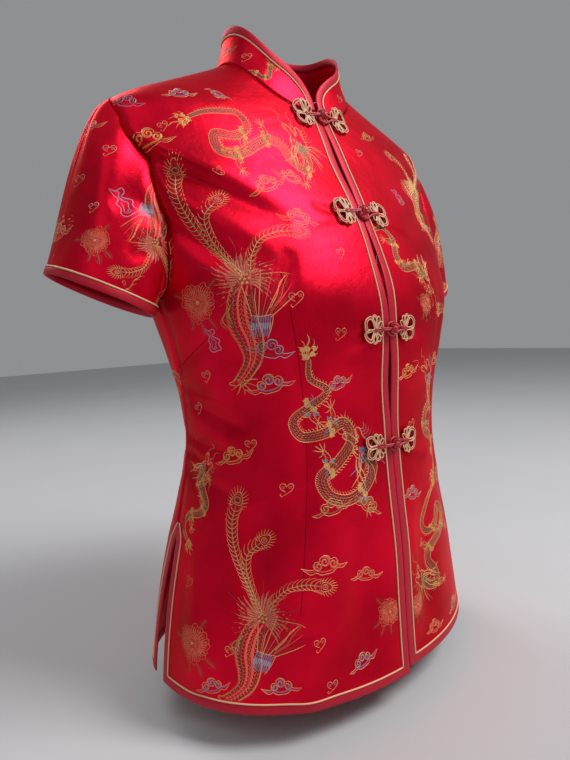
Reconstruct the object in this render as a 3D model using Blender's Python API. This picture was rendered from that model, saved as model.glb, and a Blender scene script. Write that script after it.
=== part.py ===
"""Mandarin collar blouse in satin brocade, with set-in short sleeves and frog closures.

The blouse keeps the hollow form in which it is worn. Metres, +Z up. The wearer faces -Y, and the
wearer's left is at +X. The origin lies in the centre plane, level with the points where the
shoulder seams meet the collar, which is where the neck and shoulders hold the blouse.

Every cloth piece is a thin wall through rows of points worked out from the sizes below. A binding,
piping or frog that lies on a panel is made from that panel's surface, moved out.
"""
import math

import bmesh
import bpy
import numpy as np

# Cloth and seams
WALL = 0.0012
SEAM_GAP = 0.0003
BINDING_WIDTH = 0.008
BINDING_WALL = 0.0008
BINDING_GAP = 0.0004
MITRE_STEP = 0.12
PIPING_WIDTH = 0.0016
PIPING_HEIGHT = 0.0011

# Body of the blouse: heights are measured from the shoulder-neck point
SHOULDER_TIP = -0.068
UNDERARM = -0.248
SLIT_TOP = -0.482
HEM = -0.622
RIGHT_FRONT_DROP = 0.006
EDGE_GAP = 0.0016
EDGE_GAPE = 0.0016
SLIT_GAP = 0.0016
SLIT_SPREAD = 0.0105

# The sections that the cloth passes through, on a general figure
HEIGHT, HALF_WIDTH, FRONT, BACK, CORNER, CENTRE = range(6)
FIGURE = np.array([
    # height, half width, front depth, back depth, corner, centre
    (-0.650, 0.196, 0.147, 0.124, 2.20, 0.002),
    (-0.600, 0.190, 0.146, 0.121, 2.20, 0.004),
    (-0.550, 0.181, 0.145, 0.114, 2.20, 0.005),
    (-0.500, 0.170, 0.141, 0.105, 2.20, 0.003),
    (-0.450, 0.157, 0.133, 0.094, 2.20, 0.000),
    (-0.400, 0.149, 0.124, 0.087, 2.20, -0.005),
    (-0.350, 0.152, 0.119, 0.087, 2.25, -0.009),
    (-0.300, 0.164, 0.119, 0.093, 2.35, -0.011),
    (-0.255, 0.176, 0.118, 0.100, 2.45, -0.010),
    (-0.210, 0.185, 0.108, 0.105, 2.40, -0.006),
    (-0.160, 0.196, 0.091, 0.106, 2.30, -0.001),
    (-0.120, 0.205, 0.077, 0.104, 2.20, 0.006),
    (-0.088, 0.209, 0.066, 0.099, 2.10, 0.010),
    (-0.072, 0.205, 0.060, 0.094, 2.05, 0.012),
    (-0.058, 0.183, 0.055, 0.089, 2.00, 0.014),
    (-0.044, 0.152, 0.050, 0.083, 2.00, 0.016),
    (-0.029, 0.118, 0.045, 0.074, 2.00, 0.018),
    (-0.016, 0.090, 0.042, 0.064, 2.00, 0.020),
    (-0.005, 0.070, 0.039, 0.053, 2.00, 0.021),
    (0.010, 0.060, 0.035, 0.044, 2.00, 0.022),
    (0.030, 0.054, 0.031, 0.035, 2.00, 0.023),
])

# The side seam's swing: it lies furthest back at the waist
SEAM_LINE = np.array([
    # height, angle from the centre front in degrees
    (-0.640, 95.5),
    (-0.482, 94.5),
    (-0.400, 99.0),
    (-0.330, 94.0),
    (-0.285, 89.0),
    (-0.248, 90.0),
])

# Darts and the deepest drag lines, as soft troughs between two points
FOLDS = np.array([
    # first angle, first height, last angle, last height, half width, depth
    (-35.5, -0.215, -37.5, -0.520, 0.010, 0.0024),
    (35.5, -0.215, 37.5, -0.520, 0.010, 0.0024),
    (-92.0, -0.314, -64.0, -0.283, 0.010, 0.0022),
    (92.0, -0.314, 64.0, -0.283, 0.010, 0.0022),
    (150.0, -0.210, 152.0, -0.530, 0.012, 0.0030),
    (210.0, -0.210, 208.0, -0.530, 0.012, 0.0030),
    (104.0, -0.402, 134.0, -0.372, 0.012, 0.0032),
    (256.0, -0.392, 226.0, -0.376, 0.012, 0.0032),
])

FOLD_RADIUS = 0.15

# Neckline in plan and the standing collar
NECK_HALF_WIDTH = 0.077
NECK_FRONT = 0.056
NECK_BACK = 0.054
NECK_CENTRE = 0.014
NECK_CORNER = 2.4
NECK_SPREAD = 1.5
COLLAR_HEIGHT = 0.041
COLLAR_FRONT_HEIGHT = 0.010
COLLAR_ROUND = 0.042
COLLAR_LEAN = 0.28
COLLAR_FORWARD = 0.055
COLLAR_GAP = 0.0005
COLLAR_START = 0.0018

# Armhole and sleeve
ARMHOLE_FRONT = 0.055
ARMHOLE_BACK = 0.060
SLEEVE_OUT = 0.2265
SLEEVE_LEVEL = -0.244
SLEEVE_TILT = 24
SLEEVE_DIP = 8
SLEEVE_HALF_WIDTH = 0.047
SLEEVE_HALF_DEPTH = 0.054
SLEEVE_UNDER_REACH = 0.018
SLEEVE_HEM_REACH = 0.090
SLEEVE_SWING = {
    # side: how far behind the origin the sleeve's hem is centred, fullness of its cap
    "right": (0.010, 0.100),
    "left": (0.024, 0.145),
}
SLEEVE_LEAVES = np.array([
    # outward, forward or back, upward: the way the sleeve leaves the armhole
    (0.90, 0.00, -0.44),
    (0.62, 0.55, -0.50),
    (0.90, 0.00, -0.42),
])

# Frog closures
FROG_HEIGHTS = (-0.067, -0.173, -0.286, -0.398)
FROG_CENTRE = 0.0205
FROG_BASE = 0.0032
FROG_HEIGHT = 0.0030
FROG_STRIP = 0.0016
FROG_CORE = 0.0052
FROG_CLEAR = 0.0022
FROG_CLEAR_BELOW = 0.004
FROG_CLEAR_SLOPE = 0.20
KNOT_RADIUS = 0.0046
LOOP_RADIUS = 0.0063
LOOP_CORD = 0.0012
PETALS = np.array([
    # direction, length, half spread: degrees from the outward side, metres, degrees
    (38, 0.0155, 36),
    (-38, 0.0155, 36),
    (92, 0.0135, 17),
    (-92, 0.0135, 17),
    (124, 0.0120, 15),
    (-124, 0.0120, 15),
    (154, 0.0095, 14),
    (-154, 0.0095, 14),
])

# Rows and columns of each grid
SLIT_ROWS = 6
SEAM_ROWS = 8
ARMHOLE_ROWS = 10
SHOULDER_ROWS = 4
FRONT_COLUMNS = 12
BACK_COLUMNS = 20
SLEEVE_RINGS = 8
COLLAR_COLUMNS = 40
COLLAR_ROWS = 2
PETAL_POINTS = 40
KNOT_SIDES = 8
LOOP_POINTS = 16
LOOP_SIDES = 5

# Colours: red, green, blue, roughness
SATIN = (0.72, 0.006, 0.022, 0.35)
BINDING = (0.62, 0.018, 0.045, 0.40)
GOLD = (0.85, 0.58, 0.33, 0.45)
CORD = (0.50, 0.010, 0.025, 0.45)

RIGHT, LEFT = -1, 1


def clear_scene():
    for item in list(bpy.data.objects):
        bpy.data.objects.remove(item, do_unlink=True)


def material(name, finish):
    red, green, blue, roughness = finish
    made = bpy.data.materials.new(name)
    made.use_nodes = True
    shader = made.node_tree.nodes["Principled BSDF"]
    shader.inputs["Base Color"].default_value = (red, green, blue, 1.0)
    shader.inputs["Roughness"].default_value = roughness
    shader.inputs["Metallic"].default_value = 0.0
    return made


def add_object(name, points, faces, finish):
    """Make one closed body with its faces pointing out."""
    mesh = bpy.data.meshes.new(name)
    mesh.from_pydata([tuple(p) for p in points], [], [tuple(int(i) for i in f) for f in faces])
    shape = bmesh.new()
    shape.from_mesh(mesh)
    bmesh.ops.recalc_face_normals(shape, faces=shape.faces)
    shape.to_mesh(mesh)
    shape.free()
    mesh.shade_smooth()
    mesh.set_sharp_from_angle(angle=math.radians(40))
    made = bpy.data.objects.new(name, mesh)
    made.data.materials.append(material(name, finish))
    bpy.context.scene.collection.objects.link(made)
    return made


def unit(vectors):
    return vectors / np.linalg.norm(vectors, axis=-1, keepdims=True)


def smooth(column, height):
    """Value of a column of FIGURE at any height, on a smooth curve through its rows."""
    x, y = FIGURE[:, HEIGHT], FIGURE[:, column]
    slope = np.gradient(y, x)
    i = np.clip(np.searchsorted(x, height) - 1, 0, len(x) - 2)
    span = x[i + 1] - x[i]
    t = (height - x[i]) / span
    start = (1 + 2 * t) * (1 - t) ** 2 * y[i] + t * (1 - t) ** 2 * span * slope[i]
    end = t * t * (3 - 2 * t) * y[i + 1] + t * t * (t - 1) * span * slope[i + 1]
    return start + end


def trough(angle, height):
    """How far the darts and drag lines sink the cloth: deepest half way along each line."""
    depth = np.zeros(np.broadcast(angle, height).shape)
    for first, first_height, last, last_height, width, deep in FOLDS:
        turned = np.mod(angle - math.radians(first) + np.pi, 2 * np.pi) - np.pi
        run = np.array([math.radians(last - first) * FOLD_RADIUS, last_height - first_height])
        length = np.hypot(*run)
        across, up = turned * FOLD_RADIUS, height - first_height
        along = (across * run[0] + up * run[1]) / length ** 2
        aside = (across * run[1] - up * run[0]) / length
        swell = np.sin(np.pi * np.clip(along, 0, 1)) ** 0.7
        depth += deep * swell * np.exp(-(aside / width) ** 2)
    return depth


def figure(angle, height):
    """Point on the cloth's inner face: angle 0 is centre front, 90 degrees the wearer's left."""
    corner = smooth(CORNER, height)
    sine, cosine = np.sin(angle), np.cos(angle)
    reach = (np.abs(sine) ** corner + np.abs(cosine) ** corner) ** (-1 / corner)
    half = smooth(HALF_WIDTH, height)
    depth = np.where(cosine > 0, smooth(FRONT, height), smooth(BACK, height))
    reach = reach * (1 - trough(angle, height) / np.minimum(half, depth))
    x = half * sine * reach
    y = smooth(CENTRE, height) - depth * cosine * reach
    return np.stack([x, y, height + 0 * x], axis=-1)


def outward(angle, height):
    """Unit normal of the figure: the cross product of its two tangents."""
    step = 0.002
    across = figure(angle + step, height) - figure(angle - step, height)
    up = figure(angle, height + step) - figure(angle, height - step)
    return unit(np.cross(across, up))


def angle_from_side(y, height, side):
    """Angle of the point at depth y on the wearer's right or left at a height."""
    offset = smooth(CENTRE, height) - y
    depth = np.where(offset > 0, smooth(FRONT, height), smooth(BACK, height))
    share = np.clip(offset / depth, -1, 1)
    corner = smooth(CORNER, height)
    return np.arctan2(side * (1 - np.abs(share) ** corner) ** (1 / corner), share)


def angle_from_middle(x, height):
    """Angle of the point at x on the front at a height."""
    share = x / smooth(HALF_WIDTH, height)
    corner = smooth(CORNER, height)
    return np.arctan2(share, (1 - np.abs(share) ** corner) ** (1 / corner))


def neck_height(angle):
    """Height at which the figure passes the neckline's oval at an angle, found by halving."""
    low, high = np.full(np.shape(angle), -0.100), np.full(np.shape(angle), 0.029)
    for _ in range(40):
        middle = (low + high) / 2
        x, y, _ = np.moveaxis(figure(angle, middle), -1, 0)
        depth = np.where(y < NECK_CENTRE, NECK_FRONT, NECK_BACK)
        across, along = np.abs(x / NECK_HALF_WIDTH), np.abs((y - NECK_CENTRE) / depth)
        outside = across ** NECK_CORNER + along ** NECK_CORNER > 1
        low, high = np.where(outside, middle, low), np.where(outside, high, middle)
    return (low + high) / 2


def spaced(start, end, count, first=0.0):
    """Count steps from start to end, the first one of a given length."""
    sign = math.copysign(1, end - start)
    if not first:
        return np.linspace(start, end, count + 1)
    return np.append(start, np.linspace(start + sign * first, end, count))


def side_line(side, back, hem):
    """Angles and heights up a panel's side: slit, side seam, armhole and shoulder seam."""
    slit = spaced(hem, SLIT_TOP, SLIT_ROWS, BINDING_WIDTH)[:-1]
    seam = spaced(SLIT_TOP, UNDERARM, SEAM_ROWS)
    turn = np.linspace(0, np.pi, ARMHOLE_ROWS + 1)[1:-1]
    arm = UNDERARM + (SHOULDER_TIP - UNDERARM) * (1 - np.cos(turn)) / 2
    shoulder = np.linspace(SHOULDER_TIP, neck_height(np.pi / 2), SHOULDER_ROWS + 1)
    below = np.clip((SLIT_TOP - slit) / (SLIT_TOP - HEM), 0, 1)
    gap = np.append(SLIT_GAP + SLIT_SPREAD * below ** 0.6, np.full(len(seam), SEAM_GAP / 2))
    plain = np.append(slit, seam)
    quarter = gap / np.where(back, smooth(BACK, plain), smooth(FRONT, plain))
    seam_angle = np.radians(np.interp(plain, SEAM_LINE[:, 0], SEAM_LINE[:, 1]))
    start, end = smooth(CENTRE, UNDERARM), smooth(CENTRE, SHOULDER_TIP)
    middle = start + (end - start) * turn / np.pi
    bow = ARMHOLE_BACK if back else -ARMHOLE_FRONT
    bow = bow * np.sin(turn) * (1 - turn / np.pi) ** 0.6
    armhole = np.abs(angle_from_side(middle + bow, arm, side))
    ridge = np.pi / 2 - SEAM_GAP / 2 / smooth(FRONT, shoulder)
    if back:
        ridge = np.pi / 2 + SEAM_GAP / 2 / smooth(BACK, shoulder)
        below = seam_angle + quarter
    else:
        below = seam_angle - quarter
    angles = side * np.concatenate([below, armhole, ridge])
    return angles, np.concatenate([plain, arm, shoulder])


def patch(start, end, foot, top, share):
    """Angles and heights over a panel, blended from its four border lines."""
    u = np.linspace(0, 1, foot.shape[0])[None, :, None]
    v = share[:, None, None]
    corners = (1 - u) * (1 - v) * foot[0] + u * (1 - v) * foot[-1] + (1 - u) * v * top[0] + u * v * top[-1]
    return (1 - v) * foot[None] + v * top[None] + (1 - u) * start[:, None] + u * end[:, None] - corners


def even_columns(dense, count):
    """Walk each row by length: first and last columns as wide as the binding, the rest even."""
    points = figure(dense[..., 0], dense[..., 1])
    steps = np.linalg.norm(np.diff(points, axis=1), axis=-1)
    length = np.concatenate([np.zeros((len(steps), 1)), np.cumsum(steps, axis=1)], axis=1)
    rows = []
    for row, along in zip(dense, length):
        inner = np.linspace(BINDING_WIDTH, along[-1] - BINDING_WIDTH, count - 1)
        stops = np.concatenate([[0], inner, [along[-1]]])
        rows.append(np.stack([np.interp(stops, along, row[:, k]) for k in (0, 1)], axis=-1))
    return np.array(rows)


def panel(dense, count):
    """Points of the inner face and unit normals over a panel."""
    grid = even_columns(dense, count)
    angle, height = grid[..., 0], grid[..., 1]
    return figure(angle, height), outward(angle, height)


def front_panel(side):
    """One front: from its edge at the centre to the side, and from hem to neckline."""
    hem = HEM - (RIGHT_FRONT_DROP if side == RIGHT else 0)
    side_angle, side_height = side_line(side, False, HEM)
    rows = len(side_height)
    arm_row = SLIT_ROWS + SEAM_ROWS
    rise = (side_height[:arm_row + 1] - HEM) / (UNDERARM - HEM)
    low = hem + rise * (UNDERARM - hem)
    low[1] = low[0] + BINDING_WIDTH
    high = np.linspace(UNDERARM, neck_height(0.0), rows - arm_row)[1:]
    edge_height = np.append(low, high)
    between = np.sin(np.pi * (edge_height - FROG_HEIGHTS[0]) / (FROG_HEIGHTS[0] - FROG_HEIGHTS[1])) ** 2
    gape = EDGE_GAP + EDGE_GAPE * np.where(edge_height > FROG_HEIGHTS[3], between, 1.0)
    edge = np.stack([angle_from_middle(side * gape, edge_height), edge_height], axis=-1)
    end = np.stack([side_angle, side_height], axis=-1)
    u = np.linspace(0, 1, 61)
    foot = edge[0] + (end[0] - edge[0]) * u[:, None]
    top_angle = edge[-1, 0] + (end[-1, 0] - edge[-1, 0]) * u ** NECK_SPREAD
    top = np.stack([top_angle, neck_height(top_angle)], axis=-1)
    share = (edge_height - edge_height[0]) / (edge_height[-1] - edge_height[0])
    return panel(patch(edge, end, foot, top, share), FRONT_COLUMNS)


def back_panel():
    """The back: from the wearer's left side round to the right, and from hem to neckline."""
    angle, height = side_line(LEFT, True, HEM)
    start = np.stack([angle, height], axis=-1)
    end = np.stack([2 * np.pi - angle, height], axis=-1)
    u = np.linspace(0, 1, 121)
    foot = start[0] + (end[0] - start[0]) * u[:, None]
    top_angle = start[-1, 0] + (end[-1, 0] - start[-1, 0]) * u
    top = np.stack([top_angle, neck_height(top_angle)], axis=-1)
    share = (height - height[0]) / (height[-1] - height[0])
    return panel(patch(start, end, foot, top, share), BACK_COLUMNS)


def add_wall(name, inner, outer, finish, tube=False):
    """Closed body between two grids of points; a tube's rows close on themselves."""
    rows, columns = inner.shape[:2]
    index = np.arange(rows * columns).reshape(rows, columns)
    if tube:
        index = np.concatenate([index, index[:, :1]], axis=1)
    faces = []
    for grid in (index, index[:, ::-1] + rows * columns):
        faces += list(zip(grid[:-1, :-1].flat, grid[:-1, 1:].flat, grid[1:, 1:].flat, grid[1:, :-1].flat))
    rims = [index[0], index[-1]]
    if not tube:
        rims += [index[:, 0], index[:, -1]]
    for rim in rims:
        over = rim + rows * columns
        faces += list(zip(rim[:-1], rim[1:], over[1:], over[:-1]))
    points = np.concatenate([inner.reshape(-1, 3), outer.reshape(-1, 3)])
    return add_object(name, points, faces, finish)


def add_sweep(name, rings, cap, finish, closed=False):
    """Closed body through rings of points; cap lists the faces that fill an end ring."""
    count, sides = rings.shape[:2]
    index = np.arange(count * sides).reshape(count, sides)
    if closed:
        index = np.concatenate([index, index[:1]])
    turned = np.roll(index, -1, axis=1)
    faces = list(zip(index[:-1].flat, turned[:-1].flat, turned[1:].flat, index[1:].flat))
    if not closed:
        for ring in (index[0], index[-1]):
            faces += [tuple(ring[k] for k in face) for face in cap]
    return add_object(name, rings.reshape(-1, 3), faces, finish)


class Border:
    """The finished edge of a panel: points on the edge, points a binding's width in, normals."""

    def __init__(self, edge, inner, edge_normal, inner_normal, mitre=None):
        self.edge, self.inner = edge, inner
        self.edge_normal, self.inner_normal = edge_normal, inner_normal
        self.mitre = np.ones(len(edge)) if mitre is None else mitre
        self.out = unit(edge - inner) * self.mitre[:, None]

    def binding(self, gap):
        """Rings of a folded strip that wraps the edge: a U with its legs on both faces."""
        near, far = gap, gap + BINDING_WALL
        ends = [(0, self.inner, self.inner_normal, WALL + near),
                (near, self.edge, self.edge_normal, WALL + near),
                (near, self.edge, self.edge_normal, -near),
                (0, self.inner, self.inner_normal, -near),
                (0, self.inner, self.inner_normal, -far),
                (far, self.edge, self.edge_normal, -far),
                (far, self.edge, self.edge_normal, WALL + far),
                (0, self.inner, self.inner_normal, WALL + far)]
        return np.stack([at + self.out * past + normal * up for past, at, normal, up in ends], axis=1)

    def piping(self, gap):
        """Rings of a cord that lies on the panel along the binding's inner side."""
        near, far = SEAM_GAP, SEAM_GAP + PIPING_WIDTH
        low, high = WALL + gap, WALL + gap + PIPING_HEIGHT
        corners = [(near, low), (far, low), (far, high), (near, high)]
        return np.stack([self.inner - self.out * a + self.inner_normal * b for a, b in corners], axis=1)


BINDING_CAP = ((0, 1, 6, 7), (1, 2, 5, 6), (2, 3, 4, 5))
SQUARE_CAP = ((0, 1, 2, 3),)


def between(grid, places):
    """Read a grid at fractions of its rows and columns."""
    low = np.minimum(np.floor(places).astype(int), np.array(grid.shape[:2]) - 2)
    row, column = low.T
    a, b = (places - low).T[..., None]
    first = (1 - b) * grid[row, column] + b * grid[row, column + 1]
    second = (1 - b) * grid[row + 1, column] + b * grid[row + 1, column + 1]
    return (1 - a) * first + a * second


def panel_border(points, normals, start, end):
    """Border along a panel's first column, hem and last column, down and up to the rows given."""
    last = points.shape[1] - 1
    near, far = 1 + MITRE_STEP, last - 1 - MITRE_STEP
    # edge row, edge column, inner row, inner column, mitre
    down = [(row, 0, max(row, near), 1, 1) for row in range(start, 0, -1)]
    first = [(0, 0, 1, 1, math.sqrt(2))]
    hem = [(0, column, 1, min(max(column, near), far), 1) for column in range(1, last)]
    second = [(0, last, 1, last - 1, math.sqrt(2))]
    up = [(row, last, max(row, near), last - 1, 1) for row in range(1, end + 1)]
    places = np.array(down + first + hem + second + up)
    edge, inner = places[:, 0:2], places[:, 2:4]
    return Border(between(points, edge), between(points, inner),
                  unit(between(normals, edge)), unit(between(normals, inner)), places[:, 4])


def add_trims(place, border, gap, closed=False):
    add_sweep("binding_" + place, border.binding(gap), BINDING_CAP, BINDING, closed)
    add_sweep("piping_" + place, border.piping(gap), SQUARE_CAP, GOLD, closed)


def seam_start(edge, normal, away, turn, gap):
    """Inner and outer points where a wall leaves a panel's edge, turned up from its surface."""
    sine, cosine = np.sin(turn)[:, None], np.cos(turn)[:, None]
    outer = edge + away * gap + normal * WALL * (np.abs(sine) + np.maximum(cosine, 0))
    return outer - (normal * cosine - away * sine) * WALL, outer


def armhole_ring(front, back, side):
    """Points and normals round the armhole: shoulder tip, down the back, underarm, up the front."""
    low, high = SLIT_ROWS + SEAM_ROWS, SLIT_ROWS + SEAM_ROWS + ARMHOLE_ROWS
    column = 0 if side == LEFT else -1
    parts = []
    for kind in (0, 1):
        down = back[kind][low + 1:high, column][::-1]
        up = front[kind][low + 1:high, -1]
        tip = (back[kind][high, column] + front[kind][high, -1]) / 2
        under = (back[kind][low, column] + front[kind][low, -1]) / 2
        parts.append(np.concatenate([tip[None], down, under[None], up]))
    return parts[0], unit(parts[1])


def sleeve_grid(front, back, side):
    """Inner and outer points of a set-in sleeve, from the armhole to its hem."""
    edge, normal = armhole_ring(front, back, side)
    count = len(edge)
    along = unit(np.roll(edge, -1, axis=0) - np.roll(edge, 1, axis=0))
    away = unit(np.cross(along, normal)) * side
    round_hole = np.arange(count) / count * 2 * np.pi
    under = (1 - np.cos(round_hole)) / 2
    weights = np.stack([(1 + np.cos(round_hole)) / 2, np.sin(round_hole) ** 2, under ** 2], axis=1)
    leave = unit(weights @ SLEEVE_LEAVES)
    leave[:, 1] *= np.sin(round_hole)
    leave = unit(leave * (side, 1, 1))
    turn = np.arctan2(np.sum(leave * normal, axis=-1), np.sum(leave * away, axis=-1))
    start, start_outer = seam_start(edge, normal, away, np.maximum(turn, 0), SEAM_GAP)
    back_by, cap = SLEEVE_SWING["left" if side == LEFT else "right"]
    reach = cap + (SLEEVE_UNDER_REACH - cap) * under
    tilt, dip = math.radians(SLEEVE_TILT), math.radians(SLEEVE_DIP)
    across = np.array([side * math.cos(tilt), 0, math.sin(tilt)])
    rearward = np.array([0, math.cos(dip), math.sin(dip)])
    axis = unit(np.cross(across, rearward)) * -side
    centre = np.array([side * SLEEVE_OUT, back_by, SLEEVE_LEVEL])
    hem = (centre + SLEEVE_HALF_WIDTH * np.cos(round_hole)[:, None] * across
           + SLEEVE_HALF_DEPTH * np.sin(round_hole)[:, None] * rearward)
    pull = (SLEEVE_HEM_REACH + (SLEEVE_UNDER_REACH - SLEEVE_HEM_REACH) * under)[:, None]
    total = np.linalg.norm(hem - start, axis=-1)
    lane = np.clip(BINDING_WIDTH / total * 1.15, 0, 0.4)
    steps = np.linspace(0, 1, SLEEVE_RINGS)[:, None] * (1 - lane)
    steps = np.concatenate([steps, np.ones((1, count))])[..., None]
    rings = ((1 + 2 * steps) * (1 - steps) ** 2 * start
             + steps * (1 - steps) ** 2 * leave * reach[:, None]
             + steps ** 2 * (3 - 2 * steps) * hem + steps ** 2 * (steps - 1) * axis * pull)
    down = np.gradient(rings, axis=0)
    aside = np.roll(rings, -1, axis=1) - np.roll(rings, 1, axis=1)
    faces_out = unit(np.cross(aside, down)) * -side
    outer = rings + faces_out * WALL
    outer[0] = start_outer
    return rings, outer, faces_out


def collar_height(along, length):
    """Height of the collar at a length from its front end: round at both fronts."""
    near = np.minimum(along, length - along)
    share = np.clip(near / COLLAR_ROUND, 0, 1)
    rise = COLLAR_HEIGHT - COLLAR_FRONT_HEIGHT
    return COLLAR_FRONT_HEIGHT + rise * np.sqrt(np.clip(1 - (1 - share) ** 2, 0, 1))


class Collar:
    """The standing band, as a surface of length along the neckline and height."""

    def __init__(self):
        angle = np.linspace(0, 2 * np.pi, 721)
        height = neck_height(angle)
        base, normal = figure(angle, height), outward(angle, height)
        along = unit(np.roll(base, -1, axis=0) - np.roll(base, 1, axis=0))
        along[[0, -1]] = (1, 0, 0)
        away = unit(np.cross(normal, along))
        toward = unit((base - base.mean(axis=0)) * (1, 1, 0))
        rise = unit(np.array([0, -COLLAR_FORWARD, 1.0]) - toward * COLLAR_LEAN)
        turned = np.arccos(np.clip(np.sum(rise * away, axis=-1), -1, 1))
        inner, outer = seam_start(base, normal, away, turned, COLLAR_GAP)
        steps = np.linalg.norm(np.diff(base, axis=0), axis=-1)
        walked = np.append(0, np.cumsum(steps))
        keep = (walked >= COLLAR_START) & (walked <= walked[-1] - COLLAR_START)
        self.walked = walked[keep] - walked[keep][0]
        self.length = self.walked[-1]
        self.start, self.rise = inner[keep], rise[keep]
        self.out = unit(np.cross(along[keep], rise[keep]))

    def read(self, values, along):
        return np.stack([np.interp(along, self.walked, values[:, k]) for k in range(3)], axis=-1)

    def point(self, along, height):
        """Inner face of the band; it hollows a little between base and edge."""
        hollow = 0.0016 * np.sin(np.pi * np.clip(height / COLLAR_HEIGHT, 0, 1))[..., None]
        rise, out = self.read(self.rise, along), self.read(self.out, along)
        return self.read(self.start, along) + rise * height[..., None] - out * hollow

    def normal(self, along):
        return unit(self.read(self.out, along))


def add_collar():
    collar = Collar()
    ends = COLLAR_ROUND * (1 - np.cos(np.linspace(0, np.pi / 2, 7)))
    middle = np.linspace(COLLAR_ROUND, collar.length - COLLAR_ROUND, COLLAR_COLUMNS - 11)[1:-1]
    along = np.concatenate([ends, middle, collar.length - ends[::-1]])
    height = collar_height(along, collar.length)
    share = np.linspace(0, 1, COLLAR_ROWS + 1)[:, None]
    inner = collar.point(along[None] + 0 * share, height[None] * share)
    normal = collar.normal(along)[None]
    add_wall("collar", inner, inner + normal * WALL, SATIN)
    low = COLLAR_FRONT_HEIGHT * np.array([0.12, 0.55])
    edge_along = np.concatenate([0 * low, along, collar.length + 0 * low])
    edge_height = np.concatenate([low, height, low[::-1]])
    slope = np.stack([np.gradient(edge_along), np.gradient(edge_height)], axis=-1)
    slope[:2], slope[-2:] = (0, 1), (0, -1)
    slope = unit(slope)
    in_along = edge_along + slope[:, 1] * BINDING_WIDTH
    in_height = edge_height - slope[:, 0] * BINDING_WIDTH
    border = Border(collar.point(edge_along, edge_height), collar.point(in_along, in_height),
                    collar.normal(edge_along), collar.normal(in_along))
    add_trims("collar", border, COLLAR_GAP)


def on_front(x, z, rise):
    """Points that stand a height off the fronts' inner face, and clear of the collar above it."""
    angle = angle_from_middle(x, z)
    above = np.clip(z - neck_height(angle) + FROG_CLEAR_BELOW, 0, None)
    lift = rise + FROG_CLEAR * np.minimum(above / FROG_CLEAR_BELOW, 1) + FROG_CLEAR_SLOPE * above
    return figure(angle, z) + outward(angle, z) * lift[..., None]


def petal_radius(turn):
    """Outline of a flower of cord: the longest petal in each direction."""
    radius = np.full(turn.shape, FROG_CORE)
    for direction, length, spread in PETALS:
        aside = np.mod(turn - np.radians(direction) + np.pi, 2 * np.pi) - np.pi
        share = np.clip(1 - (aside / np.radians(spread)) ** 2, 0, 1)
        radius = np.maximum(radius, FROG_CORE + (length - FROG_CORE) * share ** 0.6)
    return radius


def add_flower(name, middle, side):
    """A ring of cord in the outline of the flower, standing on the front."""
    turn = np.linspace(0, 2 * np.pi, PETAL_POINTS, endpoint=False)
    outer = petal_radius(turn)
    rings = []
    for radius, rise in ((outer, 0), (outer, FROG_HEIGHT), (outer - FROG_STRIP, FROG_HEIGHT),
                         (outer - FROG_STRIP, 0)):
        x = side * (FROG_CENTRE + radius * np.cos(turn))
        z = middle + radius * np.sin(turn)
        rings.append(on_front(x, z, np.full(x.shape, FROG_BASE + rise)))
    add_sweep(name, np.stack(rings, axis=1), (), GOLD, closed=True)


def add_knot(name, middle):
    """The button knot on its stem, which comes from the flower on the wearer's right."""
    stations = (
        # x, radius, height of the centre above the front
        (-0.0140, 0.0010, 0.0052), (-0.0125, 0.0015, 0.0056), (-0.0085, 0.0015, 0.0082),
        (-0.0045, 0.0018, 0.0082), (-0.0030, 0.0036, 0.0080), (0.0, KNOT_RADIUS, 0.0079),
        (0.0030, 0.0036, 0.0080), (0.0046, 0.0012, 0.0080))
    turn = np.linspace(0, 2 * np.pi, KNOT_SIDES, endpoint=False)
    rings = [on_front(np.full(KNOT_SIDES, x), middle + radius * np.sin(turn),
                      rise + radius * np.cos(turn)) for x, radius, rise in stations]
    cap = (tuple(range(KNOT_SIDES)),)
    add_sweep(name, np.array(rings), cap, CORD)


def add_loop(name, middle):
    """The loop of cord round the knot, which comes from the flower on the wearer's left."""
    turn = np.linspace(0, 2 * np.pi, LOOP_POINTS, endpoint=False)
    long = np.where(np.cos(turn) > 0, 0.0128, LOOP_RADIUS)
    across = np.where(np.cos(turn) > 0, LOOP_RADIUS * (1 - 0.55 * np.cos(turn) ** 2), LOOP_RADIUS)
    x, z = long * np.cos(turn), across * np.sin(turn)
    out = unit(np.stack([np.gradient(z), -np.gradient(x)], axis=-1))
    out[0], out[LOOP_POINTS // 2] = (1, 0), (-1, 0)
    sides = np.linspace(0, 2 * np.pi, LOOP_SIDES, endpoint=False)[None]
    aside, up = LOOP_CORD * np.cos(sides), LOOP_CORD * np.sin(sides)
    rings = on_front(x[:, None] + out[:, :1] * aside, middle + z[:, None] + out[:, 1:] * aside,
                     FROG_BASE + LOOP_CORD + up)
    add_sweep(name, rings, (), CORD, closed=True)


def add_frogs():
    for number, middle in enumerate(FROG_HEIGHTS, start=1):
        add_flower("frog_%d_flower_right" % number, middle, RIGHT)
        add_flower("frog_%d_flower_left" % number, middle, LEFT)
        add_knot("frog_%d_knot" % number, middle)
        add_loop("frog_%d_loop" % number, middle)


def add_front(side, place):
    points, normals = front_panel(side)
    add_wall("front_" + place, points, points + normals * WALL, SATIN)
    top = points.shape[0] - 1
    border = panel_border(points, normals, top, SLIT_ROWS - 1)
    add_trims("front_" + place, border, BINDING_GAP)
    return points, normals


def add_back():
    points, normals = back_panel()
    add_wall("back", points, points + normals * WALL, SATIN)
    border = panel_border(points, normals, SLIT_ROWS - 1, SLIT_ROWS - 1)
    add_trims("back", border, BINDING_GAP)
    return points, normals


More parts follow.
